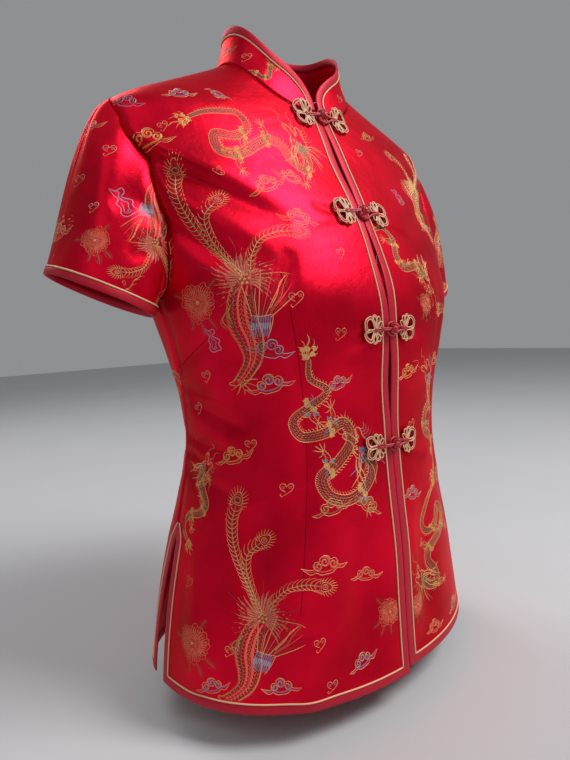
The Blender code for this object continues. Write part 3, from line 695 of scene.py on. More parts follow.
def even_columns(dense: Array, count: int) -> Array:
    """Walk each row by length: first and last columns a binding's width, the rest even."""
    length = walked(FORM.point(dense[..., 0], dense[..., 1]), axis=1)
    rows = []
    for row, along in zip(dense, length):
        inner = np.linspace(BINDING_WIDTH, along[-1] - BINDING_WIDTH, count - 1)
        stops = np.concatenate([[0], inner, [along[-1]]])
        rows.append(np.stack([np.interp(stops, along, row[:, k]) for k in (0, 1)], axis=-1))
    return np.array(rows)


@dataclass
class Cloth:
    """A grid of points on a piece's inner face, with normals and the flat plan of the cloth."""

    name: str
    points: Array
    normals: Array
    plan: Array
    tube: bool = False
    darts: Array | None = None

    def shell(self, material: Any) -> bpy.types.Object:
        """Make the thin shell: outer face, inner face and the rims that join them."""
        rows, columns = self.points.shape[:2]
        outer = self.points + self.normals * WALL
        inner = self.points + self.normals * INNER_FACE
        size = rows * columns
        outside = quads(rows, columns, wrap_columns=self.tube)
        index = np.arange(size).reshape(rows, columns)
        if self.tube:
            index = np.concatenate([index, index[:, :1]], axis=1)
        rims = [index[0], index[-1, ::-1]]
        if not self.tube:
            rims += [index[::-1, 0], index[:, -1]]
        walls = [np.stack([r[1:], r[:-1], r[:-1] + size, r[1:] + size], axis=1) for r in rims]
        faces = np.concatenate([outside, outside[:, ::-1] + size] + walls)
        points = np.concatenate([outer.reshape(-1, 3), inner.reshape(-1, 3)])
        plan = np.concatenate([self.plan.reshape(-1, 2)] * 2)
        made = make_piece(self.name, points, faces, plan, [material])
        if self.darts is not None:
            near = np.tile(self.darts.ravel(), 2)
            layer = made.data.attributes.new("darts", "FLOAT_VECTOR", "POINT")
            vectors = np.stack([near, 0 * near, 0 * near], -1).astype(np.float32)
            layer.data.foreach_set("vector", vectors.ravel())
        return made


@dataclass
class Body:
    """The two fronts and the back."""

    cut: PanelCut = field(default_factory=PanelCut)
    front_columns: int = 82
    back_columns: int = 142
    right_drop: float = 0.006
    edge_gap: float = 0.0010
    edge_gape: float = 0.0020
    neck_spread: float = 1.5

    def cloth(self, name: str, dense: Array, count: int) -> Cloth:
        """Space the columns evenly, and lay out the flat plan by the lengths walked."""
        grid = even_columns(dense, count)
        points = FORM.point(grid[..., 0], grid[..., 1])
        across, up = walked(points, axis=1), walked(points, axis=0)
        middle = up.shape[1] // 2
        plan = np.stack([across - across[:, middle:middle + 1], up], axis=-1)
        return Cloth(name, points, FORM.normal(grid[..., 0], grid[..., 1]), plan, darts=FORM.seams(grid))

    def front(self, side: int, place: str) -> Cloth:
        """One front: from its edge at the centre to the side, and from hem to neckline."""
        hem = HEM - (self.right_drop if side == RIGHT else 0)
        side_angle, side_height = self.cut.side_line(side, False)
        arm = self.cut.arm_row
        rise = (side_height[:arm + 1] - HEM) / (UNDERARM - HEM)
        low = hem + rise * (UNDERARM - hem)
        low[1] = low[0] + BINDING_WIDTH
        high = np.linspace(UNDERARM, FORM.neck(0.0), len(side_height) - arm)[1:]
        height = np.append(low, high)
        between = np.sin(np.pi * (height - FROG_HEIGHTS[0]) / (FROG_HEIGHTS[0] - FROG_HEIGHTS[1])) ** 2
        gape = self.edge_gap + self.edge_gape * np.where(height > FROG_HEIGHTS[3], between, 0.0)
        edge = np.stack([FORM.angle_from_middle(side * gape, height), height], axis=-1)
        end = np.stack([side_angle, side_height], axis=-1)
        u = np.linspace(0, 1, 241)
        foot = edge[0] + (end[0] - edge[0]) * u[:, None]
        top_angle = edge[-1, 0] + (end[-1, 0] - edge[-1, 0]) * u ** self.neck_spread
        top = np.stack([top_angle, FORM.neck(top_angle)], axis=-1)
        share = (height - height[0]) / (height[-1] - height[0])
        return self.cloth("front_%s_satin" % place, patch(edge, end, foot, top, share), self.front_columns)

    def back(self) -> Cloth:
        """The back: from the wearer's left side round to the right, and from hem to neckline."""
        angle, height = self.cut.side_line(LEFT, True)
        start = np.stack([angle, height], axis=-1)
        end = np.stack([2 * np.pi - angle, height], axis=-1)
        u = np.linspace(0, 1, 481)
        foot = start[0] + (end[0] - start[0]) * u[:, None]
        top_angle = start[-1, 0] + (end[-1, 0] - start[-1, 0]) * u
        top = np.stack([top_angle, FORM.neck(top_angle)], axis=-1)
        share = (height - height[0]) / (height[-1] - height[0])
        return self.cloth("back_satin", patch(start, end, foot, top, share), self.back_columns)


@dataclass
class Border:
    """The finished edge of a piece: edge points, inner points, normals, way out, and mitres."""

    edge: Array
    inner: Array
    edge_normal: Array
    inner_normal: Array
    out: Array
    stretch: Array
    closed: bool = False
    lift: float = 0.0

    PROFILE = (
        # share of the way from inner line to edge, millimetres past it, millimetres up
        (0.0, 0.0, 1.25), (0.05, 0.0, 1.66), (0.30, 0.0, 1.90), (0.72, 0.0, 1.92), (1.0, 0.10, 1.76),
        (1.0, 0.60, 1.40), (1.0, 0.78, 0.85), (1.0, 0.62, 0.30), (1.0, 0.10, -0.08),
        (0.5, 0.0, -0.20), (0.0, 0.0, -0.02), (0.0, 0.0, 0.40), (1.0, 0.12, 0.40), (1.0, 0.12, 1.26))
    CAP = ((0, 1, 2, 13), (2, 3, 4, 13), (13, 4, 5, 6), (13, 6, 7, 12), (12, 7, 8, 9), (12, 9, 10, 11))
    CORD_SIDES = 8

    def sweep(self, name: str, rings: Array, cap: Any, length: Array, girth: Array,
              finish: Any) -> bpy.types.Object:
        """Join rings of points into one closed body."""
        count, sides = rings.shape[:2]
        faces = quads(count, sides, wrap_rows=self.closed, wrap_columns=True)
        if not self.closed:
            ends = np.array(cap)
            faces = np.concatenate([faces, ends[:, ::-1], ends + (count - 1) * sides])
        plan = np.stack(np.broadcast_arrays(length[:, None], girth), axis=-1).reshape(-1, 2)
        return make_piece(name, rings.reshape(-1, 3), faces, plan, [finish])

    def binding(self, name: str, finish: Any) -> bpy.types.Object:
        """The folded strip that wraps the edge, with its legs on both faces."""
        share, past, up = np.array(self.PROFILE).T
        share, past, up = share[None, :, None], past[None, :, None] / 1000, up[None, :, None] / 1000
        at = self.inner[:, None] * (1 - share) + self.edge[:, None] * share
        normal = unit(self.inner_normal[:, None] * (1 - share) + self.edge_normal[:, None] * share)
        rings = at + self.out[:, None] * self.stretch[:, None, None] * past + normal * (up + self.lift)
        girth = walked(rings[len(rings) // 2])[None]
        return self.sweep(name, rings, self.CAP, walked(self.edge), girth, finish)

    def piping(self, name: str, finish: Any, radius: float = 0.00076) -> bpy.types.Object:
        """The round cord beside the binding's inner line."""
        turn = np.arange(self.CORD_SIDES) / self.CORD_SIDES * 2 * np.pi
        centre = self.inner - self.out * (self.stretch * 0.00085)[:, None]
        centre = centre + self.inner_normal * (WALL + 0.00052 + self.lift)
        across = self.out[:, None] * self.stretch[:, None, None]
        rings = centre[:, None] + radius * (np.cos(turn)[None, :, None] * across
                                            + np.sin(turn)[None, :, None] * self.inner_normal[:, None])
        cap = ((0, 1, 2, 3), (0, 3, 4, 7), (4, 5, 6, 7))
        return self.sweep(name, rings, cap, walked(centre), turn[None] * radius, finish)


# grid rows or columns that a panel's figures leave free beside a binding, and beside a seam
BOUND_EDGE, SEAM_EDGE = 1.75, 0.14


def panel_border(cloth: Cloth, start: int, end: int, slits: tuple[bool, bool]) -> Border:
    """Border down a panel's first column, along its hem and up its last column.

    A side that is a slit goes on above the slit's top, its width closing to a point.
    """
    points, normals = cloth.points, cloth.normals
    last = points.shape[1] - 1
    near, far = 1.12, last - 1.12
    heights = points[:, 0, 2], points[:, -1, 2]

    def leg(rows: Iterable[int], column: int, slit: bool) -> list[tuple[float, ...]]:
        """Places on one side: edge row and column, inner row and column, mitre, full inner column."""
        inside = 1 if column == 0 else last - 1
        way = 1 if column == 0 else -1
        level = heights[0 if column == 0 else 1]
        made = []
        for row in rows:
            above = (level[row] - SLIT_TOP) / (SLIT_APEX - SLIT_TOP) if slit else 0.0
            width = max(1 - max(above, 0.0), 0.0) ** 0.75
            made.append((row, column, max(row, near), column + way * max(width, 0.06), 1.0, inside))
        return made

    places = leg(range(start, 0, -1), 0, slits[0]) + [(0, 0, 1, 1, math.sqrt(2), 1)]
    places += [(0, c, 1, min(max(c, near), far), 1.0, min(max(c, 1), last - 1)) for c in range(1, last)]
    places += [(0, last, 1, last - 1, math.sqrt(2), last - 1)] + leg(range(1, end + 1), last, slits[1])
    table = np.array(places, float)
    edge, edge_n = read_grid(points, table[:, 0], table[:, 1]), read_grid(normals, table[:, 0], table[:, 1])
    inner, inner_n = read_grid(points, table[:, 2], table[:, 3]), read_grid(normals, table[:, 2], table[:, 3])
    full = read_grid(points, table[:, 2], table[:, 5])
    return Border(edge, inner, unit(edge_n), unit(inner_n), unit(edge - full), table[:, 4])


@dataclass
class Sleeve:
    """A set-in short sleeve: a cubic from the armhole ring to an oval hem."""

    side: int
    place: str
    rings: int = 58
    out: float = 0.2265
    level: float = -0.244
    tilt: float = 24.0
    dip: float = 8.0
    half_width: float = 0.047
    half_depth: float = 0.054
    under_reach: float = 0.018
    hem_reach: float = 0.090
    leaves: tuple = ((0.90, 0.00, -0.44), (0.62, 0.55, -0.50), (0.90, 0.00, -0.42))
    swing: tuple = (0.010, 0.100)
    folds: tuple = ()

    def armhole(self, front: Cloth, back: Cloth, cut: PanelCut) -> tuple[Array, Array]:
        """Points and normals: shoulder tip, down the back, underarm, up the front."""
        low, high = cut.arm_row, cut.arm_row + cut.armhole_rows
        column = 0 if self.side == LEFT else -1
        parts = []
        for rear, fore in ((back.points, front.points), (back.normals, front.normals)):
            tip = (rear[high, column] + fore[high, -1]) / 2
            under = (rear[low, column] + fore[low, -1]) / 2
            down, up = rear[low + 1:high, column][::-1], fore[low + 1:high, -1]
            parts.append(np.concatenate([tip[None], down, under[None], up]))
        return parts[0], unit(parts[1])

    def cloth(self, front: Cloth, back: Cloth, cut: PanelCut) -> Cloth:
        """The sleeve's grid: rings from the armhole to the hem, and its folds."""
        edge, normal = self.armhole(front, back, cut)
        side, count = self.side, len(edge)
        along = unit(np.roll(edge, -1, axis=0) - np.roll(edge, 1, axis=0))
        away = unit(np.cross(along, normal)) * side
        turn = np.arange(count) / count * 2 * np.pi
        under = (1 - np.cos(turn)) / 2
        leave = unit(np.stack([1 - under, np.sin(turn) ** 2, under ** 2], axis=1) @ np.array(self.leaves))
        leave[:, 1] *= np.sin(turn)
        leave = unit(leave * (side, 1, 1))
        rise = np.maximum(np.arctan2(np.sum(leave * normal, -1), np.sum(leave * away, -1)), 0)
        sine, cosine = np.sin(rise)[:, None], np.cos(rise)[:, None]
        outer = edge + away * SEAM_GAP + normal * WALL * (np.abs(sine) + np.maximum(cosine, 0))
        start = outer - (normal * cosine - away * sine) * WALL
        back_by, cap = self.swing
        reach = cap + (self.under_reach - cap) * under
        tilt, dip = math.radians(self.tilt), math.radians(self.dip)
        across = np.array([side * math.cos(tilt), 0, math.sin(tilt)])
        rearward = np.array([0, math.cos(dip), math.sin(dip)])
        axis = unit(np.cross(across, rearward)) * -side
        hem = (np.array([side * self.out, back_by, self.level])
               + self.half_width * np.cos(turn)[:, None] * across
               + self.half_depth * np.sin(turn)[:, None] * rearward)
        pull = (self.hem_reach + (self.under_reach - self.hem_reach) * under)[:, None]
        lane = np.clip(BINDING_WIDTH / np.linalg.norm(hem - start, axis=-1) * 1.15, 0, 0.4)
        steps = np.linspace(0, 1, self.rings)[:, None] * (1 - lane)
        steps = np.concatenate([steps, np.ones((1, count))])[..., None]
        points = ((1 + 2 * steps) * (1 - steps) ** 2 * start
                  + steps * (1 - steps) ** 2 * leave * reach[:, None]
                  + steps ** 2 * (3 - 2 * steps) * hem + steps ** 2 * (steps - 1) * axis * pull)
        faces_out = self.normals(points, outer - start)
        sunk = self.sunk(turn[None] + 0 * steps[..., 0], steps[..., 0])
        points = points - faces_out * sunk[..., None]
        faces_out = self.normals(points, outer - start)
        ring = walked(np.concatenate([points, points[:, :1]], axis=1), axis=1)[:, :-1]
        plan = np.stack([ring, walked(points)], axis=-1)
        return Cloth("sleeve_%s_satin" % self.place, points, faces_out, plan, tube=True)

    def normals(self, points: Array, first: Array) -> Array:
        """Unit normals of the rings, the first ring leaning as the seam does."""
        aside = np.roll(points, -1, axis=1) - np.roll(points, 1, axis=1)
        made = unit(np.cross(aside, np.gradient(points, axis=0))) * -self.side
        made[0] = unit(first)
        return made

    def sunk(self, turn: Array, share: Array) -> Array:
        """Depth of the sleeve's folds: a bell across each line times a half wave along it."""
        depth = np.zeros(turn.shape)
        for a, s, b, t, width, deep in self.folds:
            turned = (np.mod(turn - math.radians(a) + np.pi, 2 * np.pi) - np.pi) * 0.05
            run = np.array([math.radians(b - a) * 0.05, (t - s) * 0.15])
            length = np.hypot(*run)
            up = (share - s) * 0.15
            along = (turned * run[0] + up * run[1]) / length ** 2
            aside = (turned * run[1] - up * run[0]) / length
            depth += deep * np.sin(np.pi * np.clip(along, 0, 1)) ** 0.7 * np.exp(-(aside / width) ** 2)
        fade = np.clip(share / 0.06, 0, 1) * np.clip((1 - share) / 0.08, 0, 1)
        return depth * fade * fade * (3 - 2 * fade)

    def border(self, cloth: Cloth) -> Border:
        """The sleeve's hem."""
        p, n = cloth.points, cloth.normals
        ones = np.ones(p.shape[1])
        return Border(p[-1], p[-2], n[-1], n[-2], unit(p[-1] - p[-2]), ones, closed=True)


@dataclass
class CollarBand:
    """The standing band, as a surface of length along the neckline and height."""

    height: float = 0.041
    front_height: float = 0.010
    round_over: float = 0.042
    lean: float = 0.28
    forward: float = 0.055
    gap: float = 0.0005
    start_after: float = 0.0018
    columns: int = 200
    rows: int = 14

    def __post_init__(self) -> None:
        """Work out the band's foot, lean and outward direction along the neckline."""
        angle = np.linspace(0, 2 * np.pi, 721)
        level = FORM.neck(angle)
        base, normal = FORM.point(angle, level), FORM.normal(angle, level)
        along = unit(np.roll(base, -1, axis=0) - np.roll(base, 1, axis=0))
        along[[0, -1]] = (1, 0, 0)
        away = unit(np.cross(normal, along))
        toward = unit((base - base.mean(axis=0)) * (1, 1, 0))
        rise = unit(np.array([0, -self.forward, 1.0]) - toward * self.lean)
        turned = np.arccos(np.clip(np.sum(rise * away, axis=-1), -1, 1))
        sine, cosine = np.sin(turned)[:, None], np.cos(turned)[:, None]
        outer = base + away * self.gap + normal * WALL * (np.abs(sine) + np.maximum(cosine, 0))
        foot = outer - (normal * cosine - away * sine) * WALL
        length = walked(base)
        keep = (length >= self.start_after) & (length <= length[-1] - self.start_after)
        self.walk = length[keep] - length[keep][0]
        self.length = self.walk[-1]
        self.foot, self.rise = foot[keep], rise[keep]
        self.out = unit(np.cross(along[keep], rise[keep]))

    def read(self, values: Array, along: Array) -> Array:
        """Values at lengths along the band."""
        return np.stack([np.interp(along, self.walk, values[:, k]) for k in range(3)], axis=-1)

    def point(self, along: Array, height: Array) -> Array:
        """Inner face of the band; it hollows a little between base and edge."""
        hollow = 0.0016 * np.sin(np.pi * np.clip(height / self.height, 0, 1))[..., None]
        rise, out = self.read(self.rise, along), self.read(self.out, along)
        return self.read(self.foot, along) + rise * height[..., None] - out * hollow

    def top(self, along: Array) -> Array:
        """Height of the band at a length from its front end: round at both fronts."""
        share = np.clip(np.minimum(along, self.length - along) / self.round_over, 0, 1)
        rise = self.height - self.front_height
        return self.front_height + rise * np.sqrt(np.clip(1 - (1 - share) ** 2, 0, 1))

    def stations(self) -> Array:
        """Lengths along the band, closer together where its ends are round."""
        ends = self.round_over * (1 - np.cos(np.linspace(0, np.pi / 2, 25)))
        middle = np.linspace(self.round_over, self.length - self.round_over, self.columns - 48)[1:-1]
        return np.concatenate([ends, middle, self.length - ends[::-1]])

    def cloth(self) -> Cloth:
        """The band's grid from base to edge."""
        along = self.stations()
        share = np.linspace(0, 1, self.rows + 1)[:, None]
        height = self.top(along)[None] * share
        points = self.point(along[None] + 0 * share, height)
        normals = unit(self.read(self.out, along))[None] + 0 * points
        plan = np.stack([along[None] + 0 * height, height], axis=-1)
        return Cloth("collar_satin", points, normals, plan)

    def border(self) -> Border:
        """The band's finished edge, from one front end to the other."""
        along = self.stations()
        low = self.front_height * np.array([0.12, 0.4, 0.75])
        edge_along = np.concatenate([0 * low, along, self.length + 0 * low])
        edge_height = np.concatenate([low, self.top(along), low[::-1]])
        slope = np.stack([np.gradient(edge_along), np.gradient(edge_height)], axis=-1)
        slope[:3], slope[-3:] = (0, 1), (0, -1)
        slope = unit(slope)
        in_along = edge_along + slope[:, 1] * BINDING_WIDTH
        in_height = edge_height - slope[:, 0] * BINDING_WIDTH
        edge, inner = self.point(edge_along, edge_height), self.point(in_along, in_height)
        edge_n, inner_n = (unit(self.read(self.out, np.clip(a, 0, self.length)))
                           for a in (edge_along, in_along))
        return Border(edge, inner, edge_n, inner_n, unit(edge - inner), np.ones(len(edge)))


@dataclass
class Frog:
    """One closure: two butterflies of satin strip and gold cord, a button knot and its loop."""

    middle: float
    number: int
    centre: float = 0.0205
    base: float = 0.0020
    clear: float = 0.0022
    clear_below: float = 0.004
    clear_slope: float = 0.20
    gold_radius: float = 0.00046
    knot_radius: float = 0.0046
    knot_lift: float = 0.0079
    cord_strand: float = 1.15
    stem_cord: float = 0.00095
    loop_cord: float = 0.0012

    # each petal's direction in degrees, then its length and width in millimetres
    PETALS = ((31, 15.4, 10.8), (-33, 15.0, 10.4), (76, 13.2, 5.2), (-80, 13.0, 5.0),
              (104, 11.8, 3.8), (-108, 11.4, 3.8), (134, 9.4, 3.4), (-138, 9.2, 3.4))

    def on_front(self, x: Array, z: Array, rise: Array) -> Array:
        """Points that stand a height off the fronts' inner face, and clear of the collar above it."""
        angle = FORM.angle_from_middle(x, z)
        above = np.clip(z - FORM.neck(angle) + self.clear_below, 0, None)
        lift = rise + self.clear * np.minimum(above / self.clear_below, 1) + self.clear_slope * above
        return FORM.point(angle, z) + FORM.normal(angle, z) * lift[..., None]

    def petal(self, direction: float, length: float, width: float) -> Array:
        """Loop of one petal in millimetres, from the hub out and back."""
        way = np.array(polar(direction))
        side = np.array([-way[1], way[0]])
        controls = [(1.2, 0.5), (0.42 * length, 0.36 * width), (0.78 * length, 0.5 * width), (length, 0.0),
                    (0.78 * length, -0.5 * width), (0.42 * length, -0.36 * width), (1.2, -0.5)]
        return curve_through([a * way + b * side for a, b in controls], 1.15)

    def tube(self, path: Array, side: int, rise: float, half: float, high: float,
             sides: int = 6) -> tuple[Array, Array]:
        """Sweep an oval along a path in the plane of the front, then lay it on the front.

        Args:
            path: n x 2 millimetres from the flower's centre, outward and up.
            side: the wearer's right or left.
            rise: height of the oval's centre above the front's inner face.
            half: half width of the oval.
            high: half height of the oval.
            sides: corners of the oval.

        Returns:
            Rings of points, and lengths along the path.
        """
        p = path / 1000
        tangent = unit(np.gradient(p, axis=0))
        across = np.stack([-tangent[:, 1], tangent[:, 0]], axis=-1)
        turn = (np.arange(sides) + 0.5) / sides * 2 * np.pi
        flat = p[:, None] + across[:, None] * (half * np.cos(turn))[None, :, None]
        up = np.broadcast_to(rise + high * np.sin(turn), flat.shape[:2])
        points = self.on_front(side * (self.centre + flat[..., 0]), self.middle + flat[..., 1], up)
        return points, walked(p)

    def ropes(self, name: str, parts: list[tuple[Array, Array, int]],
              finishes: Sequence[Any]) -> bpy.types.Object:
        """Join several swept cords into one piece; each has rings, lengths and a finish number."""
        points, faces, plans, kinds = [], [], [], []
        total = 0
        for rings, length, kind in parts:
            count, sides = rings.shape[:2]
            skin = quads(count, sides, wrap_columns=True)
            half = sides // 2
            strip = np.arange(half - 1)
            cap = np.stack([strip, strip + 1, sides - 2 - strip, sides - 1 - strip], axis=1)
            cells = np.concatenate([skin, cap[:, ::-1], cap + (count - 1) * sides])
            corner = rings.reshape(-1, 3)[cells]
            if np.sum((corner[:, 0] - corner[0, 0]) * np.cross(corner[:, 1] - corner[0, 0],
                                                               corner[:, 2] - corner[0, 0])) < 0:
                cells = cells[:, ::-1]
            girth = np.arange(sides) / sides * 0.003
            points.append(rings.reshape(-1, 3))
            plans.append(np.stack(np.broadcast_arrays(length[:, None], girth[None]), -1).reshape(-1, 2))
            faces.append(cells + total)
            kinds.append(np.full(len(cells), kind))
            total += count * sides
        return make_piece(name, np.concatenate(points), np.concatenate(faces), np.concatenate(plans),
                          finishes, np.concatenate(kinds))

    def flower(self, side: int, place: str, strip: Any, gold: Any) -> bpy.types.Object:
        """Half of the butterfly: petals of satin strip on edge with gold cord along the top."""
        parts = []
        for direction, length, width in self.PETALS:
            path = self.petal(direction, length, width)
            wide = 1.15 if width > 6 else 0.72
            parts.append((*self.tube(path, side, self.base + 0.0012, wide / 1000, 0.0015), 0))
            way = unit(np.gradient(path, axis=0))
            for aside in ((wide, -wide * 0.95) if width > 4.5 else (wide * 0.8,)):
                edge = path + leftward(way) * aside
                rim = self.tube(edge, side, self.base + 0.0024, self.gold_radius, self.gold_radius)
                parts.append((*rim, 1))
        hub = curve_through([(-1.8, -0.9), (0.0, 1.3), (1.6, 0.0), (0.0, -1.3), (-1.8, 0.9)], 0.6)
        parts.append((*self.tube(hub, side, self.base + 0.0030, 0.0010, 0.0010), 0))
        return self.ropes("frog_%d_flower_%s_cord" % (self.number, place), parts, [strip, gold])

    def stem(self, strip: Any) -> bpy.types.Object:
        """The knot: a round of interlaced cords on the stem that comes from the right flower."""
        turn = np.linspace(0, 2 * np.pi, 180)
        radius = self.knot_radius * 1000
        wave = np.stack([np.sin(2 * turn) * (1 + 0.42 * np.cos(3 * turn)),
                         np.cos(2 * turn) * (1 + 0.42 * np.cos(3 * turn)),
                         0.75 * np.sin(3 * turn)], axis=-1)
        knot = wave * (radius - 1.2) / np.abs(wave).max(axis=0).mean()
        parts = []
        tangent = unit(np.gradient(knot, axis=0))
        aside = unit(np.cross(tangent, (0.3, 0.2, 1.0)))
        upward = np.cross(aside, tangent)
        ring = (np.arange(8) + 0.5) / 8 * 2 * np.pi
        loops = knot[:, None] + self.cord_strand * (np.cos(ring)[None, :, None] * aside[:, None]
                                                    + np.sin(ring)[None, :, None] * upward[:, None])
        lift = self.knot_lift + loops[..., 2] / 1000
        loops = self.on_front(loops[..., 0] / 1000, self.middle + loops[..., 1] / 1000, lift)
        parts.append((loops[:-1], walked(knot / 1000)[:-1], 0))
        core = np.linspace(-3.3, 3.3, 9)
        girth = np.sqrt(np.clip(3.4 ** 2 - core ** 2, 0, None)) + 0.15
        ball = np.stack([core[:, None] + 0 * ring, girth[:, None] * np.cos(ring),
                         girth[:, None] * np.sin(ring)], axis=-1)
        lift = self.knot_lift + ball[..., 2] / 1000
        ball = self.on_front(ball[..., 0] / 1000, self.middle + ball[..., 1] / 1000, lift)
        parts.append((ball, core / 1000, 0))
        for level in (0.75, -0.75):
            x = np.linspace(-0.0185, -0.0030, 22)
            share = (x - x[0]) / (x[-1] - x[0])
            rise = 0.0046 + 0.0030 * share * share * (3 - 2 * share)
            z = self.middle + level / 1000 * (1.5 - share)
            rings = self.on_front(x[:, None] + 0 * ring, z[:, None] + self.stem_cord * np.cos(ring)[None],
                                  rise[:, None] + self.stem_cord * np.sin(ring)[None])
            parts.append((rings, x - x[0], 0))
        return self.ropes("frog_%d_knot_cord" % self.number, parts, [strip])

    def loop(self, strip: Any) -> bpy.types.Object:
        """The loop round the knot, two strands that come from the left flower."""
        controls = [(18.5, 1.0), (13.0, 1.5), (8.5, 3.4), (4.5, 5.6), (0.0, 6.3), (-4.5, 4.5), (-6.2, 0.0),
                    (-4.5, -4.5), (0.0, -6.3), (4.5, -5.6), (8.5, -3.4), (13.0, -1.5), (18.5, -1.0)]
        path = curve_through(controls, 0.7) / 1000
        tangent = unit(np.gradient(path, axis=0))
        across = leftward(tangent)
        ring = (np.arange(8) + 0.5) / 8 * 2 * np.pi
        flat = path[:, None] + across[:, None] * (self.loop_cord * np.cos(ring))[None, :, None]
        near = np.clip((path[:, 0] - 0.009) / 0.008, 0, 1)
        rise = 0.0044 + 0.0006 * near[:, None] + self.loop_cord * np.sin(ring)[None]
        rings = self.on_front(flat[..., 0], self.middle + flat[..., 1], rise)
        return self.ropes("frog_%d_loop_cord" % self.number, [(rings, walked(path), 0)], [strip])


# The brocade

GOLD, PALE, ORANGE, BLUE, SKY, OLIVE, CORAL, BROWN = range(8)


class Drawing:
    """Threads of one motif in millimetres, x to the right and y up, in blocks of equal strokes."""

    def __init__(self) -> None:
        """Start empty."""
        self.blocks: list[tuple[Array, Array, int]] = []

    def add(self, strokes: Array, width: Any, thread: int) -> None:
        """Add k strokes of n points each, with widths that broadcast over them."""
        strokes = np.asarray(strokes, float)
        self.blocks.append((strokes, np.broadcast_to(np.asarray(width, float), strokes.shape[:2]), thread))

    def line(self, controls: Any, thread: int, width: float = 0.75, ends: tuple[float, float] = (0.5, 0.5),
             step: float = 2.3, closed: bool = False) -> Array:
        """Draw a smooth line; its width swells from one end's share to full and back."""
        path = curve_through(controls, step, closed)
        share = np.linspace(0, 1, len(path))
        swell = np.sin(np.pi * share) ** 0.6
        floor = ends[0] * (1 - share) + ends[1] * share
        self.add(path[None], width * (floor + (1 - floor) * swell)[None], thread)
        return path

    def curl(self, x: float, y: float, radius: float, start: float, turns: float, thread: int,
             width: float = 0.7) -> None:
        """A spiral that shrinks from its radius to a fifth of it."""
        count = max(int(radius * abs(turns) * 2.7), 7)
        t = np.linspace(0, 1, count)
        angle = math.radians(start) + 2 * np.pi * turns * t
        reach = radius * (1 - 0.8 * t)
        self.add(np.stack([x + reach * np.cos(angle), y + reach * np.sin(angle)], -1)[None], width, thread)

    def disc(self, x: float, y: float, radius: float, thread: int, rim: int | None = None) -> None:
        """A filled round of spiralling thread, with a rim in another thread if wanted."""
        self.curl(x, y, radius * 0.72, 0, max(radius / 0.9, 1.0), thread, 1.0)
        if rim is not None:
            t = np.linspace(0, 2 * np.pi, max(int(radius * 5), 8))
            self.add(np.stack([x + radius * np.cos(t), y + radius * np.sin(t)], -1)[None], 0.6, rim)

    def combs(self, path: Array, gap: float, shape: Any, side: float, thread: int, width: float,
              first: float = 0.0, last: float = 1.0, size: Any = 1.0) -> None:
        """Set the same small stroke along a path, turned with it.

        Args:
            path: n x 2 points at even steps.
            gap: distance between strokes.
            shape: m x 2 points of the stroke, first along the path and then away from it.
            side: 1 for the left of the path, -1 for the right.
            thread: kind of thread.
            width: width at the stroke's root; the tip is a third of it.
            first: share of the path where they start.
            last: share of the path where they end.
            size: length of the strokes, one value or one for each point of the path.
        """
        length = walked(path)
        stops = np.arange(length[-1] * first, length[-1] * last, gap)
        if len(stops) < 1:
            return
        at = np.stack([np.interp(stops, length, path[:, k]) for k in (0, 1)], -1)
        slope = np.gradient(path, axis=0)
        way = unit(np.stack([np.interp(stops, length, slope[:, k]) for k in (0, 1)], -1))
        big = np.interp(stops, length, np.broadcast_to(size, len(path)))[:, None, None]
        left = leftward(way)
        mark = np.asarray(shape, float)
        turned = mark[None, :, :1] * way[:, None] + side * mark[None, :, 1:] * left[:, None]
        self.add(at[:, None] + big * turned, width * np.linspace(1, 0.35, len(mark))[None], thread)

    def offset(self, path: Array, away: Array) -> Array:
        """A path moved to its left by distances."""
        way = unit(np.gradient(path, axis=0))
        return path + leftward(way) * np.asarray(away)[:, None]

    def placed(self, x: float, y: float, turn: float = 0.0, scale: float = 1.0,
               mirror: bool = False) -> "Drawing":
        """A copy, mirrored, scaled, turned by degrees and moved."""
        c, s = polar(turn)
        flip = np.array([-1.0 if mirror else 1.0, 1.0])
        made = Drawing()
        for strokes, width, thread in self.blocks:
            p = strokes * flip * scale
            p = np.stack([p[..., 0] * c - p[..., 1] * s + x, p[..., 0] * s + p[..., 1] * c + y], -1)
            made.blocks.append((p, width * scale ** 0.5, thread))
        return made

    def take(self, other: "Drawing") -> None:
        """Add another drawing's threads."""
        self.blocks += other.blocks


def cloud(rim: int, fill: int) -> Drawing:
    """A cloud of curling lobes on a long tail, about 34 mm long."""
    d = Drawing()
    d.line([(-20, -3), (-15, -5.5), (-9, -4), (-6, -6.5), (0, -7), (6, -6.5), (9, -4), (14, -5),
            (21, 1.5)], rim)
    d.line([(-20, -3), (-14, -2.5), (-10, -1), (-10.5, 3), (-7, 5.2), (-4.5, 3.8), (-3.5, 7), (0.5, 8.6),
            (4.5, 6.6), (5, 3.8), (8.5, 4.6), (10.5, 1.6), (9.5, -1), (14, -1.2), (21, 1.5)], rim)
    for x, y, r, start, turns in ((-6.6, 0.6, 3.4, 160, 1.3), (0.6, 3.4, 4.0, 60, 1.5),
                                  (6.6, 0.8, 3.2, 30, -1.3)):
        d.curl(x, y, r, start, turns, fill, 1.5)
        d.curl(x, y, r + 1.1, start, turns, rim, 0.6)
    d.line([(-9, -3.4), (-3, -4.6), (3, -4.6), (9, -2.6)], fill, 1.7)
    d.line([(-17, -3.6), (-12, -3.4), (-8, -2.6)], fill, 1.0)
    d.line([(10, -2.6), (14, -2.8), (18, -0.6)], fill, 1.0)
    return d


